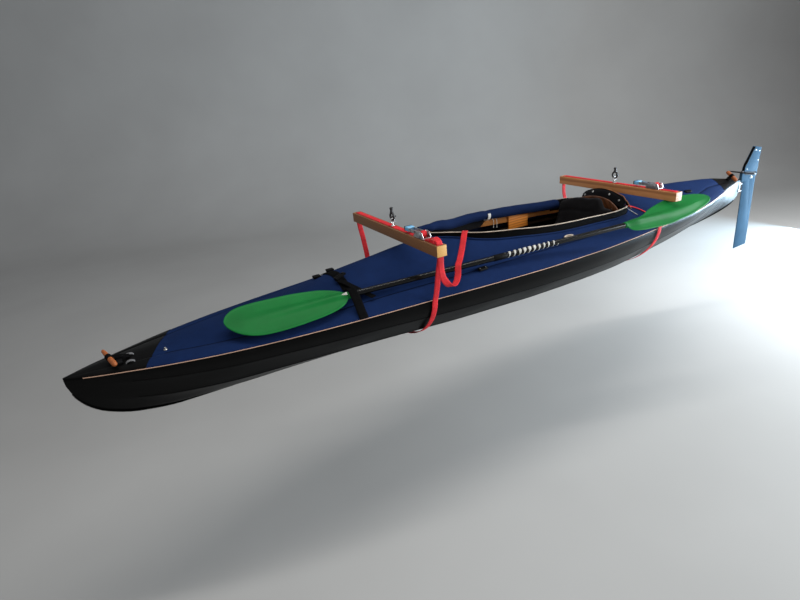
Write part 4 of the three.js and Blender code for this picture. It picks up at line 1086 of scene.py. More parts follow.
def build_collar():
    ys = np.linspace(-COLLAR_HALF, COLLAR_HALF, 61)

    def grid(thick):
        out = []
        for y in ys:
            col = collar_column(y, thick)
            for k, p in enumerate(col):
                v = k / (COLLAR_STEPS - 1)
                p[2] += 1.6 * wobble(p[0], y, p[2], 42, 2.2) * math.sin(math.pi * v)
            out.append(col)
        return np.array(out)

    shell("collar", grid(0), grid(3.2), BLACK_CLOTH, stands_for=("rear_collar",), slot="black_fabric")
    crest = [collar_column(y)[9] + (0, 0, 0.6) for y in ys]
    sweep("collar_welt", crest, circle(2.6, 10), BAND_CLOTH, slot="black_fabric")
    for k, y in enumerate((-118, -57, 57, 118)):
        col = collar_column(y)
        out = np.cross((0, 1, 0), col[6] - col[4])
        out *= math.copysign(1, out[0]) / np.linalg.norm(out)
        centre = (col[4] + col[6]) / 2 + out * 0.4
        turned(f"collar_snap_{k}", SNAP, centre, out, NICKEL, 20, slot="zinc")
    hem = [collar_column(y)[12] + (0, 0, 1.4) for y in ys if y > 0]
    hem += on_deck([(-742, 151, 5), (-744, 156, 2)])
    sweep("collar_hem", hem, circle(2.6, 10), TAN_BINDING, slot="piping")
    # curved plywood board in front of the collar, with an arched top
    rings = []
    for y in np.linspace(-BOARD_HALF, BOARD_HALF, 61):
        tall = 155 - 13 * (abs(y) / 100) ** 2.2 - BOARD_LOW
        rings.append([(board_x(y) + a, y, BOARD_LOW + tall / 2 + b)
                      for a, b in rounded(9, tall, min(3.2, tall * 0.4), 4)])
    loft("cross_board", rings, BROWN_WOOD, stands_for=("rear_cross_board",), slot="dark_wood")
    for k, y in enumerate((-160, -112, 112, 160)):
        turned(f"board_screw_{k}", BOARD_SCREW, (board_x(y) + 4.6, y, 106), (1, 0, 0), NICKEL, 14,
               slot="zinc")
    # red tape that runs from the port end of the collar to under the blade, and a thin white cord beside it
    free_cord("rear_tape", spline(on_deck(REAR_TAPE), 30), webbing_section(12, 1.4), RED_WEB, 12,
              "bare", "limp", "loose", side=(1, 0.35, 0), slot="red_webbing")
    free_cord("rear_thread", spline(on_deck(REAR_THREAD), 24), circle(1.5, 8), WHITE_TAPE, 3,
              "knot", "limp", "loose", slot="piping", scale=knotted)


# Inside the cockpit

def dress_node(name, material, bevel=0.0, segments=2, angle=35):
    """Gives a solid of the frame its material and rounds its edges by bevel millimetres."""
    weld(name)
    ob = NODES[name]
    ob.data.materials.clear()
    ob.data.materials.append(material)
    if bevel:
        mod = ob.modifiers.new("edges", "BEVEL")
        mod.width = bevel / 1000
        mod.segments = segments
        mod.limit_method = "ANGLE"
        mod.angle_limit = math.radians(angle)
    ob.data.polygons.foreach_set("use_smooth", [True] * len(ob.data.polygons))
    ob.data.update()
    ob.data.set_sharp_from_angle(angle=math.radians(angle))


def weld(name):
    """A solid of the frame has its faces apart; this joins them so that edges can be rounded."""
    mod = NODES[name].modifiers.new("weld", "WELD")
    mod.merge_threshold = 0.00002


PAD_SHRINK = 5.0
VOXEL = 0.0075
CLOTH_FRAMES = 20
BACK_TALL, BACK_FOOT = 277, -112


def vertices(ob):
    """Rows of the mesh's points."""
    co = np.zeros(len(ob.data.vertices) * 3)
    ob.data.vertices.foreach_get("co", co)
    return co.reshape(-1, 3)


def soft_pad(name, size, centre, turn, material, seams, cap=9.0, bend=None, **options):
    """Cushion blown up by the cloth solver from a slightly smaller block, creased at its seams and bent.

    Each seam is its axis (0 or 1), its place on it, its width and its depth. No point moves by more
    than cap in the cloth solver, and bend takes a point of the flat pad to its place on the boat.
    """
    bm = box_bmesh([s - PAD_SHRINK for s in size])
    bmesh.ops.bevel(bm, geom=list(bm.edges), offset=min(size) * 0.28, segments=3, affect="EDGES",
                    profile=0.5)
    pts, faces = bmesh_parts(bm, centre, turn)
    ob = make(name, pts, faces, material, **options)
    rem = ob.modifiers.new("remesh", "REMESH")
    rem.mode = "VOXEL"
    rem.voxel_size = VOXEL
    bake(ob)
    start = vertices(ob)
    cloth = ob.modifiers.new("cloth", "CLOTH")
    cloth.settings.quality = 4
    cloth.settings.mass = 0.15
    cloth.settings.use_pressure = True
    cloth.settings.uniform_pressure_force = 4
    cloth.settings.tension_stiffness = 12
    cloth.settings.compression_stiffness = 12
    cloth.settings.bending_stiffness = 0.6
    cloth.settings.effector_weights.gravity = 0
    cloth.collision_settings.use_collision = False
    cloth.point_cache.frame_start = 1
    cloth.point_cache.frame_end = CLOTH_FRAMES
    for f in range(1, CLOTH_FRAMES + 1):
        bpy.context.scene.frame_set(f)
    bake(ob)
    bpy.context.scene.frame_set(1)
    move = vertices(ob) - start
    far = np.linalg.norm(move, axis=1)
    keep = np.minimum(1.0, (cap / 1000) / np.maximum(far, 1e-9))
    co = start + move * keep[:, None]
    middle = Vector(place([centre])[0])
    for k in range(len(co)):
        x, y, flat = (1000 * v for v in turn.transposed() @ (Vector(co[k]) - middle))
        dip = sum(deep * math.exp(-(((x, y)[axis] - at) / wide) ** 2) for axis, at, wide, deep in seams)
        z = flat - dip * math.copysign(1, flat) * smooth(0.25, 0.5, abs(flat) / size[2])
        z += 0.8 * wobble(x, y, flat, 60, 4.4)
        if bend:
            co[k] = place([bend(x, y, z)])[0]
        else:
            co[k] = middle + turn @ (Vector((x, y, z)) / 1000)
    ob.data.vertices.foreach_set("co", co.ravel())
    sub = ob.modifiers.new("soft", "SUBSURF")
    sub.levels = sub.render_levels = 1
    bake(ob)
    box_uv(ob)
    ob.data.polygons.foreach_set("use_smooth", [True] * len(ob.data.polygons))


def bake(ob):
    """Turns what the modifiers make into the object's own mesh."""
    dg = bpy.context.evaluated_depsgraph_get()
    new = bpy.data.meshes.new_from_object(ob.evaluated_get(dg), depsgraph=dg)
    materials = list(ob.data.materials)
    ob.modifiers.clear()
    ob.data = new
    if not len(new.materials):
        for m in materials:
            new.materials.append(m)
    bpy.context.view_layer.update()


def box_uv(ob):
    """UV map in metres from the side each face looks to, so that cloth keeps its thread size."""
    me = ob.data
    layer = me.uv_layers.get("UVMap") or me.uv_layers.new(name="UVMap")
    for poly in me.polygons:
        n = poly.normal
        k = max(range(3), key=lambda i: abs(n[i]))
        a, b = [(1, 2), (0, 2), (0, 1)][k]
        for li in poly.loop_indices:
            co = me.vertices[me.loops[li].vertex_index].co
            layer.data[li].uv = (co[a], co[b])


def build_cockpit():
    for name in ("rib_front", "rib_middle", "rib_rear"):
        dress_node(name, VARNISHED, 1.2)
    # the gunwale stringers get the near-black wood, which is painted shade
    for _, word in SIDES:
        dress_node(f"gunwale_stringer_{word}", STRINGER_SHADE_WOOD, angle=60)
    dress_node("floorboard", PANEL_WOOD, 2.0)
    dress_node("side_panel", PANEL_WOOD, 1.6, 3)
    dress_node("backrest_rod", DARK_STEEL, angle=50)
    soft_pad("seat_cushion", (316, 236, 36), (-400, 0, -177), Matrix.Identity(3), SEAT_CLOTH,
             seams=((0, -70, 7, 4), (0, 70, 7, 4), (1, 0, 7, 3)), stands_for=("seat_pad",),
             slot="black_fabric")
    soft_pad("backrest_pad", (360, BACK_TALL, 40), (-520, 0, 26), rotation((0, 1, 0), (1, 0, 0)), SEAT_CLOTH,
             seams=((1, -72, 8, 4), (1, 66, 8, 4)), cap=7, bend=backrest_bend, body="backrest",
             stands_for=("backrest",), slot="black_fabric")


def backrest_bend(across, up, out):
    """Flat pad to the leaning one with its arched top: across, up and out are from the pad's middle."""
    crest = 172 - 7 * (abs(across) / 75) ** 2.18
    if across > 0:
        crest += 18 * smooth(10, 80, across) - 33 * smooth(84, 120, across) + 15 * smooth(122, 180, across)
    z = BACK_FOOT + (crest - BACK_FOOT) * (up / BACK_TALL + 0.5)
    lean = 12 + 103 * (max(0.0, 165 - z) / BACK_TALL) ** 1.3
    return (-585 + lean + out, across, z)


# Rolled spray cover

TIE_X = -8
ROLL_FRONT, ROLL_REAR = 502, -520
ROLL_CORDS = ((-44, -147, 121, 79), (-66, -147, 118, 77))  # x, y, top, foot


def roll_radius(x):
    waist = 2.0 * math.exp(-((x - TIE_X) / 24) ** 2)
    point = 6 * smooth(340, 440, x) + 7 * smooth(440, ROLL_FRONT, x)
    return 28.5 - 2.5 * smooth(-170, 40, x) - waist - point


def roll_centre(x):
    """Middle of the roll, which lies inboard of the starboard rail and hangs free in front."""
    turn = (opening_half(x + 10) - opening_half(x - 10)) / 20
    away = 10 + (29.5 - 11 * smooth(330, 432, x)) * math.hypot(1, turn)
    lift = 3 * smooth(0, 150, x) + 18.5 * smooth(250, 440, x) - 9 * smooth(200, 420, -x) - 4
    y, z = -(opening_half(x) - away), rail_top(x) + lift
    if x > 432:
        start = roll_centre(432)
        y, z = start[1] + 0.08 * (x - 432), start[2] + 0.12 * (x - 432)
    return np.array((x, y, z))


def build_roll():
    xs = np.concatenate([np.arange(ROLL_FRONT, 396, -4.0), np.arange(396, -70, -9.0),
                         np.arange(-70, -515, -9.0), [ROLL_REAR]])
    path = np.array([roll_centre(x) for x in xs])
    t, s, u = frames(path, None)
    n, m = len(xs), 56
    pts, uvs = [], []
    run = run_lengths(path)
    for k, x in enumerate(xs):
        r = roll_radius(x) - 2 * smooth(-505, ROLL_REAR, x)
        pinched = 1.6 * math.exp(-((abs(x - TIE_X) - 24) / 20) ** 2)
        for a in round_angles(m):
            edge = (a - 2.2) % (2 * math.pi)
            flap = 2.2 * smooth(0.0, 0.9, edge) if edge < 0.9 else 2.2 - 2.2 * smooth(0.9, 6.2, edge)
            fold = 1.1 * wobble(run[k], a * 24, 0, 48, 6.1) + 0.7 * math.sin(3 * a + run[k] / 70)
            relief = flap * 0.8 + fold + pinched * math.sin(7 * a + 1.0) * 0.6
            rr = r * (1 - 0.045 * smooth(350, 440, x)) - 1.4 + relief * min(1.0, r / 18)
            flat = 0.94 if math.sin(a) < 0 else 1.0
            pts.append(path[k] + s[k] * (rr * math.cos(a)) + u[k] * (rr * flat * math.sin(a)))
            uvs.append((run[k] / 1000, a * 0.024))
    faces = grid_faces(n, m, close_v=True)
    for k, bulge in ((0, -3), (n - 1, 3)):
        tip = len(pts)
        pts.append(path[k] + t[k] * bulge)
        uvs.append((run[k] / 1000, 0))
        faces += [flipped((k * m + j, k * m + (j + 1) % m, tip), k == 0) for j in range(m)]
    finish_normals(make("spray_cover_roll", pts, faces, ROLL_CANVAS, uvs=uvs,
                        stands_for=("rolled_spray_cover",), slot="canvas"), 55)
    # tape of the tie that comes out from under the outer turn, and two short cords beside it
    k = int(np.argmin(np.abs(xs - TIE_X)))
    r = roll_radius(TIE_X) + 2.4
    tape = [path[k] + s[k] * r * math.cos(a) + u[k] * r * math.sin(a) for a in np.linspace(0.5, -1.9, 20)]
    sweep("roll_tie", spline(tape, 30), rounded(20, 1.8, 0.8, 2), WHITE_TAPE, side=t[k], slot="canvas")
    for k, (x, y, top, low) in enumerate(ROLL_CORDS):
        line = [(x, y - 6, top + 5), (x, y, top), (x - 1, y + 1, (top + low) / 2), (x + 1, y + 2, low)]
        free_cord(f"roll_cord_{k}", spline(line, 24), circle(1.5, 8), WHITE_TAPE, 3,
                  "knot", "limp", "hanging", slot="piping", scale=knotted)


# Paddle

FORE = np.array((960.0, 190.0, 78.0))
AFT = np.array((-450.0, 363.0, 105.0))
SHAFT_RADIUS = 12.5
FORE_BLADE = [  # distance from the end of the shaft, width outboard of its line, width inboard
    (0, 16, 14), (14, 34, 24), (32, 50, 37), (62, 64, 51), (110, 77, 67), (173, 86, 77), (231, 92, 83),
    (291, 95, 85), (341, 93, 86), (380, 85, 85), (413, 71, 82), (443, 50, 74), (465, 25, 58), (477, 6, 42),
    (482, -10, 26),
]
AFT_BLADE = [
    (0, 20, 16), (14, 38, 18), (38, 48, 21), (94, 55, 25), (135, 57, 36), (167, 58, 51), (240, 57, 73),
    (313, 47, 88), (360, 41, 92), (416, 31, 93), (466, 17, 90), (506, 6, 84), (540, -6, 75), (566, -18, 64),
    (580, -33, 51),
]
FORE_TILT, AFT_TILT = -0.42, -0.6
JOINT = (
    (-34, 2), (-34, 12.8), (-32, 14.0), (-2, 14.2), (-1.2, 13.5), (1.2, 13.5), (2, 14.2),
    (32, 14.0), (34, 12.8), (34, 2),
)
GRIP_FROM, GRIP_TO = 728, 1014
GRIP_TURNS, GRIP_STEPS, GRIP_RADIUS = 11, 22, 13.3


def paddle_axes():
    """Unit vectors along the shaft to the fore blade, level across it, and up."""
    d = (FORE - AFT) / np.linalg.norm(FORE - AFT)
    level = np.array((-d[1], d[0], 0))
    level /= np.linalg.norm(level)
    return d, level, np.cross(d, level)


def blade_width(table, col, at):
    """Width in a blade table at one distance from the shaft."""
    rows = [(-a, *rest) for a, *rest in table]
    return along(rows, col, -at)


def blade(name, table, start, d, side, face, stands, tent):
    """Spooned blade with a spine, a thin raised rim and a middle that stands tent over its edges."""
    length = table[-1][0]
    outer, inner = [], []
    tip = length - 40 * (1 - np.linspace(0, 1, 16)[1:]) ** 1.6
    for at in list(np.linspace(0, length - 40, 66)) + list(tip):
        t = at / length
        out, into = blade_width(table, 1, at), blade_width(table, 2, at)
        c = start + d * at
        spoon = 8 * math.sin(math.pi * t)
        middle = max(0.0, t - 0.5) * (out - into)
        ro, ri = [], []
        for s in np.linspace(1, -1, 41):
            s = math.copysign(1 - (1 - abs(s)) ** 1.25, s)
            w = middle + s * (out - middle) if s > 0 else middle + s * (into + middle)
            from_rim = min(out - w, w + into) / 6.0
            spine = (9.0 * (1 - t) ** 1.2 + 1.4) * math.exp(-abs((w - middle) / (13 + 14 * t)) ** 2.8)
            spine *= 1 - 0.95 * smooth(0.6, 0.92, t)
            spine += tent * (1 - abs(s)) * smooth(0.0, 0.12, t) * (1 - smooth(0.75, 1.0, t))
            rim = 1.5 * math.exp(-(from_rim - 0.7) ** 2 * 1.6) * smooth(0.02, 0.1, t)
            thick = 1.5 * min(1.0, max(0.05, from_rim)) ** 0.5
            low = -spoon * (1 - s * s) * 0.4
            ro.append(c + side * w + face * (low + thick + spine + rim))
            ri.append(c + side * w + face * (low - thick - spine * 0.8))
        outer.append(ro)
        inner.append(ri)
    shell(name, outer, inner, GREEN, stands_for=(stands,), slot="green_plastic")


def build_paddle():
    d, level, up = paddle_axes()

    def tilt(angle):
        c, s = math.cos(angle), math.sin(angle)
        return level * c + up * s, up * c - level * s

    blade("blade_fore", FORE_BLADE, FORE, d, *tilt(FORE_TILT), "paddle_blade_fore", 5.0)
    blade("blade_aft", AFT_BLADE, AFT, -d, *tilt(AFT_TILT), "paddle_blade_aft", 13.0)
    length = np.linalg.norm(FORE - AFT)
    path = [FORE - d * s for s in np.linspace(0.5, length - 0.5, 60)]
    sweep("shaft", path, circle(SHAFT_RADIUS, 32), SHAFT_BLACK, stands_for=("paddle_shaft",),
          slot="black_plastic")
    # socket of each blade over the end of the shaft, and the joint in the middle
    for name, at, way, deep in (("socket_fore", FORE, -1, 24), ("socket_aft", AFT, 1, 12)):
        prof = [(0.5, 2), (0.5, 14.4), (4, 15.4), (deep - 4, 15.0), (deep, 14.0), (deep + 1, 12.8),
                (deep + 1, 2)]
        turned(name, prof, at, d * way, GREEN, 32, slot="green_plastic")
    # white wedge where the shaft runs out on the fore blade: a painted highlight for the glare on the socket
    side, face = tilt(FORE_TILT)
    wedge = []
    for at, half in ((2, 9), (8, 7.5), (14, 5.5), (20, 3.4), (25, 1.2)):
        ring = []
        for share, lift in ((1, 0), (0.5, 1.2), (0, 1.6), (-0.5, 1.2), (-1, 0), (0, -2)):
            w = half * share
            ring.append(FORE + d * at + side * w + face * (14.6 - 0.13 * at + lift - 0.02 * w * w))
        wedge.append(ring)
    loft("neck_glare_highlight", wedge, WHITE_TAPE, slot="piping")
    turned("shaft_joint", JOINT, FORE - d * (length / 2), d, BLACK_PLASTIC, 32, slot="black_plastic")
    # spiral of white tape over the grip, worn and uneven, drawn narrow on the shaft's underside as painted
    # shade
    path, tape_widths_shaded = [], []
    last = GRIP_TURNS * GRIP_STEPS
    for k in range(last + 1):
        a = 2 * math.pi * k / GRIP_STEPS
        s = GRIP_FROM + (GRIP_TO - GRIP_FROM) * k / last + 2.5 * wobble(k, 0, 0, 30, 3.3)
        path.append(FORE - d * s + (level * math.cos(a) + up * math.sin(a)) * GRIP_RADIUS)
        wide = 1.0 + 0.9 * math.exp(-((s - 840) / 75) ** 2) + 0.25 * wobble(k, 5, 0, 17, 8.1)
        # narrow under the shaft, so that the black shows there: painted shade
        tape_widths_shaded.append(wide * (0.3 + 0.7 * smooth(-0.4, 0.7, math.sin(a))))
    sweep("grip_spiral", path, rounded(7.5, 1.2, 0.5, 2), WHITE_TAPE, side=d, slot="piping",
          scale=lambda k, n: tape_widths_shaded[k])


STRAP_X = 930
STRAP_WIDE = 38
BUCKLE_Y = 48
BUCKLE = (  # name, size, place in the buckle's own frame
    ("buckle_a", (48, 7, 9), (0, -22, 0)), ("buckle_b", (48, 6, 7), (0, -7, 1)),
    ("buckle_c", (48, 7, 9), (0, 21, 0)), ("buckle_d", (6, 50, 9), (-21, 0, 0)),
    ("buckle_e", (6, 50, 9), (21, 0, 0)),
)
SPARE_END = ((948, 62, 12), (930, 98, 12), (908, 146, 13), (882, 190, 12), (860, 226, 14))


def build_paddle_strap():
    x = STRAP_X
    py = FORE[1] + 3.5
    ys = np.linspace(-150, 286, 72)
    lift = FORE[2] + SHAFT_RADIUS + 3 - deck_height(x, py) - 0.4
    path, tilts = [], []
    for y in ys:
        hump = lift * math.exp(-(abs((y - py - 6) / 52) ** 2.6))
        path.append((x + 9 * smooth(60, 170, y), y, max(deck_height(x, y), deck_skin(x, y)) + 2.3 + hump))
        half = STRAP_WIDE / 2
        tilts.append((STRAP_WIDE, 0, (deck_height(x + half, y) - deck_height(x - half, y)) * 0.9))
    sweep("deck_strap", path, webbing_section(STRAP_WIDE, 2.4), BLACK_WEB, side=np.array(tilts),
          stands_for=("paddle_strap",), slot="black_webbing")
    # ladder buckle
    c = Vector((x, BUCKLE_Y, deck_height(x, BUCKLE_Y) + 14.1))
    turn = rotation((0.94, 0.0, -0.33), (0.33, -0.26, 0.9))
    parts = [block(name, size, c + turn @ Vector(at), BLACK_PLASTIC, turn, 2.0) for name, size, at in BUCKLE]
    buckle = join("strap_buckle", *parts)
    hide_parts("paddle_strap_buckle")
    # spare end of the strap tucked back, with the end that sticks out by the shaft
    loose = spline([(x, y, deck_height(x, y) + lift) for x, y, lift in SPARE_END], 24)
    free_cord("deck_strap_end", loose, webbing_section(30, 2.0), BLACK_WEB, 30, "bare", "medium", "loose",
              side=(1, 0.3, 0.1), slot="black_webbing")
    # end fittings on the far side of the ridge
    for k, (x, y) in enumerate(((984, -100), (910, -124))):
        block(f"far_fitting_{k}", (34, 26, 12), (x, y, deck_height(x, y) + 6.5), BLACK_PLASTIC, bevel=3,
              segments=3, slot="black_plastic")


# Fittings on the ends and the deck

def toggle(name, a, b, radii, stands):
    """Turned wooden handle from a to b."""
    length = np.linalg.norm(b - a)
    prof = []
    for f in np.linspace(0, 1, 41):
        end = min(f, 1 - f) * length
        radius = radii[0] + (radii[1] - radii[0]) * f
        r = radius * (1 - math.exp(-end / 3.0)) * (1 - 0.05 * math.cos(2 * math.pi * f))
        prof.append((length * f, max(0.6, min(radius, r))))
    turned(name, prof, a, b - a, TOGGLE_WOOD, 28, stands_for=(stands,), slot="varnished_wood")


TOGGLES = (  # end, one tip, other tip, radii there, foot of the loop on the deck, its lift, its width
    ("bow", (1857, -22, 46), (1822, 84, 20), (7, 10.5), (1775, 22), 3.4, 22),
    ("stern", (-1877, -15, 96), (-1863, 66, 45), (11.5, 11.5), (-1832, 20), 2.3, 20),
)


WEBBING_X = 1776
WEBBING_ARCH = ((15, 1.5), (11, 6), (0, 9), (-11, 6), (-15, 1.5))
STUD = (
    (0, 0.3), (0, 6.5), (1.2, 6.8), (2.4, 5.6), (2.8, 3), (6, 2.7), (8.4, 3.7), (9.6, 3.2), (10.2, 1.5),
    (10.2, 0.3),
)


def build_ends():
    for name, a, b, radii, anchor, rise, width in TOGGLES:
        a, b = np.array(a, float), np.array(b, float)
        toggle(f"toggle_{name}", a, b, radii, f"{name}_toggle")
        grain = (b - a) / np.linalg.norm(b - a)
        mid = (a + b) / 2
        round_it = sum(radii) / 2 + 1.6
        start = np.array((*anchor, deck_height(*anchor) + rise))
        pull = start - mid
        pull -= grain * np.dot(pull, grain)
        pull /= np.linalg.norm(pull)
        over = np.cross(grain, pull)
        if over[2] < 0:
            over = -over
        # goes round the toggle and back to the deck
        pts = [start, start * 0.5 + (mid + pull * round_it) * 0.5 + (0, 0, 3)]
        for ang in np.linspace(0.0, 5.2, 12):
            pts.append(mid + (pull * math.cos(ang) + over * math.sin(ang)) * round_it)
        pts.append(start + (0, 6, 4.5))
        sweep(f"{name}_loop", spline(pts, 60), webbing_section(width, 2.4), BLACK_WEB, side=grain,
              stands_for=(f"{name}_toggle_loop",), slot="black_webbing")
    # bow: black pad behind the toggle and two stitched webbing loops
    pad_at = (1814, 28, deck_height(1818, 24) + 6.5)
    block("bow_pad", (24, 62, 12), pad_at, BLACK_PLASTIC, rotation((1, 0.08, 0.05), (0, 0.15, 1)), 4,
          segments=4, slot="rubber")
    for k, y in enumerate((16, 66)):
        base = deck_height(WEBBING_X, y)
        pts = [(WEBBING_X + dx, y, base + lift) for dx, lift in WEBBING_ARCH]
        sweep(f"bow_webbing_{k}", spline(pts, 20), webbing_section(13, 2.2), GREY_WEB, side=(0, 1, -0.15),
              slot="black_webbing")
    turned("bow_stud", STUD, on_deck([(1654, 61, 0)])[0], (0, 0.12, 1), NICKEL, 24, slot="zinc")
    # cream ring on a wooden base, and the low fitting on the side deck
    x, y, z = on_deck([(-182, 256, 0)])[0]
    ring = [(x + 25 * math.cos(a), y - 1 + 6.5 * math.sin(a), z + 6.6 - 2.4 * math.sin(a))
            for a in round_angles(40)]
    sweep("deck_eye", ring, circle(3.9, 12), CREAM, closed=True, side=(0, 0, 1), slot="piping")
    block("deck_eye_base", (40, 18, 6), (x, y, z + 3.4), BROWN_WOOD, bevel=2.4, segments=3, slot="dark_wood")
    x, y, z = on_deck([(345, 269, 0)])[0]
    block("side_fitting", (46, 22, 10), (x, y, z + 5), BLACK_PLASTIC, rotation((1, 0.06, 0), (0, 0.25, 1)),
          3.4, segments=3, slot="black_plastic")
    for k in (-1, 1):
        turned(f"side_fitting_screw_{k}", SMALL_SCREW, (x + 15 * k, y + 1, z + 9.6), (0, 0.25, 1), NICKEL,
               12, slot="zinc")
    # fairleads where the rudder lines leave the afterdeck
    for side, word in SIDES:
        at = on_deck([(-1290, side * 112, 5.5)])[0]
        block(f"fairlead_{word[0]}", (44, 20, 12), at, BLACK_PLASTIC,
              rotation((1, -0.2 * side, 0), (0, 0.4 * side, 1)), 4, segments=3, slot="black_plastic")


# Rudder

RUDDER_SOLIDS = (  # node, material, bevel
    ("rudder_head", RUDDER_PAINT, 0.7), ("rudder_blade", RUDDER_PAINT, 1.0), ("rudder_bracket", ZINC, 0.8),
    ("rudder_yoke", DARK_STEEL, 1.4), ("rudder_blade_pin", NICKEL, 0.0),
)
PIVOT_BOLT = ((0, 0.4), (0, 10), (1.2, 10), (1.4, 6.8), (5.0, 6.8), (5.6, 5.8), (5.6, 0.4))
CHEEK_BOLT = ((0, 0.4), (0, 4.0), (1.4, 3.4), (2.0, 1.6), (2.0, 0.4))
BOLTS_AT = ((-2126, 22), (-2132, 200), (-2176, 128), (-2062, 84), (-2176, 188))  # x, z; the pivot is first
YOKE_EYE = ((-4.2, 0.4), (-4.2, 6), (-3.4, 7), (3.4, 7), (4.2, 6), (4.2, 0.4))
HEAD_FRONT = ((-2041, 0, 76), (-2043, 0, 99), (-2082, 0, 159), (-2122, 0, 222))


def build_rudder():
    for name, material, bevel in RUDDER_SOLIDS:
        dress_node(name, material, bevel)
    for k, (x, z) in enumerate(BOLTS_AT):
        prof, corners = (CHEEK_BOLT, 16) if k else (PIVOT_BOLT, 6)
        for side, word in SIDES:
            turned(f"cheek_bolt_{k}_{word[0]}", prof, (x, side * 9.4, z), (0, side, 0), NICKEL, corners,
                   body="rudder_head", slot="zinc", sharp=30)
    # thin rubber edge along the front of the head, and the dark band across the cheeks
    sweep("head_edge", spline(HEAD_FRONT, 30), rounded(20, 2.6, 1.2, 3), RUBBER, side=(0, 1, 0),
          body="rudder_head", slot="rubber")
    for side, word in SIDES:
        rings = []
        for f in np.linspace(0, 1, 12):
            top = np.array((-2040 - 138 * f, 71 - 20 * f))
            low = np.array((-2046 - 140 * f, 49 - 24 * f))
            mid, half = (top + low) / 2, (top - low) / 2
            tall = np.linalg.norm(half)
            rings.append([(mid[0] + half[0] / tall * b, side * (10.2 + a), mid[1] + half[1] / tall * b)
                          for a, b in rounded(1.6, 2 * tall, 0.7, 2)])
        loft(f"head_band_{word[0]}", rings, BLACK_PLASTIC, body="rudder_head", slot="black_plastic")
        turned(f"yoke_eye_{word[0]}", YOKE_EYE, (-2026, side * 78, 66.2), (0, 0, 1), NICKEL, 18,
               body="rudder_head", slot="zinc")


# Slings

BAR_SIDE = 45
STRAP_WIDTH, STRAP_THICK, STRAP_Y = 27, 2.4, 379.2
TAIL_Y, TAIL_THICK = 382.9, 2.2
STRAP_OFF_HULL, STRAP_OFF_KEEL, STRAP_OFF_BAR = 9.0, 6.4, 1.5
SLINGS = (  # name, x, top of the bar, free points of its port and of its starboard side
    ("front", 629, 257, (), ()),
    ("rear", -785, 208, ((331, 161.3), (322, 152), (316, 130)),
     ((379, 120), (371, 82), (350, 44), (325, 18))),
)


def sling_path(x, top, between):
    """Half of the loop: along the bar, down through its slot, and round the hull to the keel."""
    away, turn = STRAP_OFF_BAR, 4.0
    half = [(y, top + away) for y in np.linspace(0, STRAP_Y - 12, 12)]
    for a in np.linspace(0, math.pi / 2, 6):
        half.append((STRAP_Y - turn + turn * math.sin(a), top + away - turn + turn * math.cos(a)))
    half += [(STRAP_Y, top - 12), (STRAP_Y, top - 30), (STRAP_Y, top - BAR_SIDE - 2)] + list(between)

    def section(turn):
        y, z = hull_point(x, turn, 0)
        y2, z2 = hull_point(x, turn - 0.01, 0)
        n = np.array((z - z2, -(y - y2)))
        n /= np.linalg.norm(n)
        return (y + n[0] * STRAP_OFF_HULL, z + n[1] * STRAP_OFF_HULL)

    hull = [section(t) for t in np.linspace(0.97, 0.1, 22)]
    return half, hull, (0, along(LINES, KEEL, x) - STRAP_OFF_KEEL)


def build_sling(name, x, top, tuck, hang):
    dress_node(f"sling_bar_{name}", BAR_WOOD_LIT_AND_SHADED[name], 1.5, 3)
    port, hull, keel = sling_path(x, top, tuck)
    starboard = sling_path(x, top, hang)[0]
    loop = [(x, y, z) for y, z in port[1:] + hull] + [(x, *keel)]
    loop += [(x, -y, z) for y, z in reversed(starboard[1:] + hull)]
    loop += [(x, 0, top + STRAP_OFF_BAR)]
    path = spline(loop, 460, closed=True)
    # small waves in the free spans
    half = half_width(x)
    for p in path:
        if p[2] < top - BAR_SIDE:
            free = smooth(half + 4, half + 24, abs(p[1])) * smooth(STRAP_Y - 1, STRAP_Y - 20, abs(p[1]))
            p[0] += free * 2.0 * math.sin(p[2] / 46.0 + p[1] / 90)
    sweep(f"strap_{name}", path, webbing_section(STRAP_WIDTH, STRAP_THICK), RED_WEB, side=(1, 0, 0),
          closed=True, stands_for=(f"sling_strap_{name}",), slot="red_webbing", sharp=70)
    build_ratchet(name, x, top)
    build_hook(name, x, top)


SPOOL_Y, SPOOL_LIFT = 262, 16
SIDE_PLATE = (  # y, height over the strap
    (214, 0), (290, 0), (290, 10), (282, 26), (262, 30), (240, 24), (222, 12), (214, 8),
)
HANDLE_PLATE = (
    (152, 11), (200, 12), (246, 8), (262, 6), (272, 14), (262, 26), (240, 26), (200, 24), (152, 25),
)
RATCHET_NUT = ((-4, 0.5), (-4, 6), (1.2, 6), (2.2, 4.4), (2.2, 0.5))
SPOOL = ((-18, 0.5), (-18, 6.5), (18, 6.5), (18, 0.5))


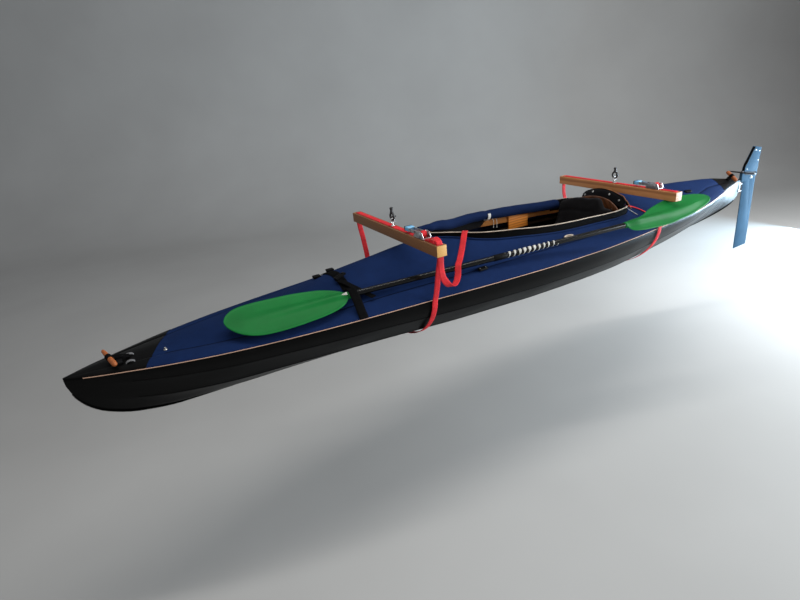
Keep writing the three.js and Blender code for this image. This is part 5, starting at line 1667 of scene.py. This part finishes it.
def build_ratchet(name, x, top):
    """Ratchet that lies on the port half of a bar."""
    lift = top + 3.0
    spool = (x, SPOOL_Y, lift + SPOOL_LIFT)
    parts = []

    def add_plate(what, outline, across, thick):
        points = [(y, lift + z) for y, z in outline]
        parts.append(extruded(f"r_{what}_{name}", points, x + across, thick, ZINC))

    def add_block(what, size, y, height, turn=None, bevel=0.8):
        parts.append(block(f"r_{what}_{name}", size, (x, y, lift + height), ZINC, turn, bevel))

    teeth = []
    for k, a in enumerate(round_angles(24)):
        r = 14.5 if k % 2 else 11.0
        teeth.append((SPOOL_Y + r * math.cos(a), SPOOL_LIFT + r * math.sin(a)))
    for s in (-1, 1):
        # side plate with a toothed end, and the handle's own side plate inside it
        add_plate(f"plate{s}", SIDE_PLATE, s * 17.5, 2.6)
        add_plate(f"grip{s}", HANDLE_PLATE, s * 13.6, 2.2)
        add_plate(f"gear{s}", teeth, s * 15.5, 1.2)
        nut_at = (x + s * 18.8, *spool[1:])
        parts.append(turned(f"r_nut_{name}_{s}", RATCHET_NUT, nut_at, (s, 0, 0), ZINC, 12))
    parts.append(turned(f"r_spool_{name}", SPOOL, spool, (1, 0, 0), ZINC, 20))
    add_block("base", (37, 11, 3), 220, 2)
    add_block("tail", (37, 9, 3), 285, 2)
    add_block("pawl", (24, 26, 4), 238, 17, rotation((1, 0, 0), (0, -0.3, 1)), 1.2)
    metal = join(f"ratchet_{name}.metal", *parts)
    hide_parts(f"ratchet_{name}")
    # webbing wound on the spool
    spiral = []
    for k in range(70):
        a = 2 * math.pi * k / 24
        r = min(8.0 + 2.4 * k / 24, 13.6)
        spiral.append((x, spool[1] + r * math.cos(a), spool[2] + r * math.sin(a)))
    sweep(f"ratchet_{name}.wound", spiral, rounded(22, 1.6, 0.6, 2), RED_WEB, side=(1, 0, 0),
          slot="red_webbing")
    block(f"ratchet_{name}.grip", (35, 27, 18), (x, 153, lift + 18), BLUE_GRIP, bevel=4.5, segments=4,
          slot="zinc")
    block(f"ratchet_{name}.cap", (36, 7, 19), (x, 140, lift + 18), BLACK_PLASTIC, bevel=2.5, segments=3,
          slot="black_plastic")


def extruded(name, outline, x, thick, material):
    """Plate of an outline in the Y-Z plane, with rounded edges."""
    bm = bmesh.new()
    a = [bm.verts.new((-thick / 2, y, z)) for y, z in outline]
    b = [bm.verts.new((thick / 2, y, z)) for y, z in outline]
    bm.faces.new(a)
    bm.faces.new(list(reversed(b)))
    n = len(outline)
    for k in range(n):
        bm.faces.new((a[k], b[k], b[(k + 1) % n], a[(k + 1) % n]))
    rim = [e for e in bm.edges if abs(e.verts[0].co.x - e.verts[1].co.x) < 1e-6]
    bmesh.ops.bevel(bm, geom=rim, offset=0.5, segments=2, affect="EDGES", profile=0.6)
    return from_bmesh(name, bm, (x, 0, 0), material, sharp=35)


RING_ABOVE_BAR, RING_RADIUS = 45, 16
SHANK = (
    (0, 0.5), (0, 6.5), (3, 8.2), (9, 8.2), (12, 6.4), (18, 6.2), (20, 8.0), (26, 8.0), (28, 6.4), (28, 0.5),
)


def build_hook(name, x, top):
    """Ring, swivel shank and latch over the middle of a bar."""
    ring_z = top + RING_ABOVE_BAR
    ring = [(x, across, ring_z + up) for up, across in circle(RING_RADIUS, 48)]
    body = sweep(f"hook_{name}.ring", ring, circle(4.6, 14), FORGED, closed=True, side=(1, 0, 0))
    shank = turned(f"hook_{name}.shank", SHANK, (x, 0, top + 58), (0, 0, 1), FORGED, 24)
    latch = block(f"hook_{name}.latch", (6, 4, 24), (x, 13, ring_z + 2), FORGED,
                  rotation((0, 0.35, 1), (1, 0, 0)), 1.2)
    hook = join(f"hook_{name}", body, shank, latch)
    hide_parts(f"hoist_hook_{name}")
    dress_node(f"hoist_eye_{name}", ZINC, angle=40)


TAIL = [  # loose end of the front strap: through the slot, a loop, over the shaft, into the cockpit
    (629, 294, 263), (629, 318, 270), (629, 345, 278), (629, 367, 275), (629, 380, 263), (629, TAIL_Y, 251),
    (629, TAIL_Y, 207), (629, 383.6, 150), (624, 388, 118), (604, 384, 88), (576, 366, 66), (546, 342, 57),
    (514, 314, 60), (489, 288, 78), (473, 267, 100), (460, 252, 105.5), (446, 239, 110), (384, 176, 146),
    (330, 118, 182), (316, 102, 186), (304, 90, 184), (293, 79, 170), (287, 72, 146),
]


TAIL_TURNS = (7, 13)  # rows of TAIL between which the strap turns from the slot's way to the deck's


def build_tail():
    path = spline(TAIL, 220)
    marks = [np.argmin(np.linalg.norm(path - np.array(TAIL[k]), axis=1)) for k in TAIL_TURNS]
    turns = [smooth(*marks, k) for k in range(len(path))]
    sides = np.array([(1 - 0.31 * turn, -0.72 * turn, 0.0) for turn in turns])
    free_cord("strap_tail_front", path, webbing_section(STRAP_WIDTH, TAIL_THICK), RED_WEB, STRAP_WIDTH,
              "bare", "medium", "hanging", side=sides, stands_for=("strap_tail",), slot="red_webbing",
              sharp=70)


# Stage and light

FLOOR_Z = -1.35
BEND_FROM, BEND_RADIUS, BACKDROP_TOP = -4.5, 2.2, 7.0
BACKDROP_HALF = 14
TO_CAMERA = Vector((0.448, 0.894, 0))
LAMPS = (  # name, place, target, size, power, colour
    ("door", (-5.0, 3.0, 0.7), (-0.8, 0, -0.2), (3.4, 2.4), 500, (0.9, 0.96, 1.0)),
    ("low_card", (-5.1, 0.5, -1.2), (-1.9, 0.2, -0.3), (2.6, 1.6), 420, (0.56, 0.8, 1.0)),
    ("floor_glow", (-4.0, 0.4, -0.55), (-4.0, 0.4, FLOOR_Z), (2.6, 2.2), 34, (0.95, 0.97, 1.0)),
    ("ceiling", (-0.8, 0.3, 3.2), (-0.9, 0, -0.3), (5.0, 0.3), 110, (1.0, 0.98, 0.95)),
    ("front", (2.2, 4.2, 0.9), (-0.3, 0, -0.2), (2.6, 1.8), 38, (1.0, 0.97, 0.92)),
)
SKY, SKY_STRENGTH = (0.86, 0.88, 0.92), 0.38


def build_stage():
    """Floor and backdrop in one sheet, from rows of (distance towards the camera, height) in metres."""
    prof = [(9.0, FLOOR_Z)] + [(4 - k * 0.5, FLOOR_Z) for k in range(16)]
    for a in np.linspace(0, math.pi / 2, 13):
        prof.append((BEND_FROM - BEND_RADIUS * math.sin(a), FLOOR_Z + BEND_RADIUS * (1 - math.cos(a))))
    prof.append((BEND_FROM - BEND_RADIUS, BACKDROP_TOP))
    near = TO_CAMERA.normalized()
    pts = []
    for s, z in prof:
        for w in (-BACKDROP_HALF, BACKDROP_HALF):
            pts.append((-0.6 + near.x * s - near.y * w, near.y * s + near.x * w, z))
    me = bpy.data.meshes.new("backdrop")
    me.from_pydata(pts, [], grid_faces(len(prof), 2))
    me.polygons.foreach_set("use_smooth", [True] * len(me.polygons))
    p = Paint("backdrop", (0.36, 0.355, 0.345), 0.9, specular=0.1)
    cloud = p.noise(p.mapped(), 0.8, 3)
    p.set_colour(p.ramp(cloud, [(0.3, (0.345, 0.34, 0.33)), (0.7, (0.375, 0.37, 0.36))]))
    me.materials.append(p.m)
    ob = bpy.data.objects.new("backdrop", me)
    bpy.context.scene.collection.objects.link(ob)


def area(name, at, target, size, power, colour):
    """Rectangular lamp that shines at its target."""
    data = bpy.data.lights.new(name, "AREA")
    data.shape = "RECTANGLE"
    data.size, data.size_y = size
    data.energy = power
    data.color = colour
    ob = bpy.data.objects.new(name, data)
    ob.location = at
    ob.rotation_mode = "QUATERNION"
    ob.rotation_quaternion = (Vector(target) - Vector(at)).to_track_quat("-Z", "Y")
    bpy.context.scene.collection.objects.link(ob)


def build_light():
    world = bpy.data.worlds.new("studio")
    world.use_nodes = True
    sky = world.node_tree.nodes["Background"]
    sky.inputs["Color"].default_value = (*SKY, 1)
    sky.inputs["Strength"].default_value = SKY_STRENGTH
    bpy.context.scene.world = world
    for lamp in LAMPS:
        area(*lamp)
    bpy.context.scene.view_settings.view_transform = "Standard"


# Build

build_hull()
build_deck()
build_coaming()
build_collar()
build_cockpit()
build_roll()
build_paddle()
build_paddle_strap()
build_ends()
build_rudder()
for sling in SLINGS:
    build_sling(*sling)
build_tail()
build_stage()
build_light()
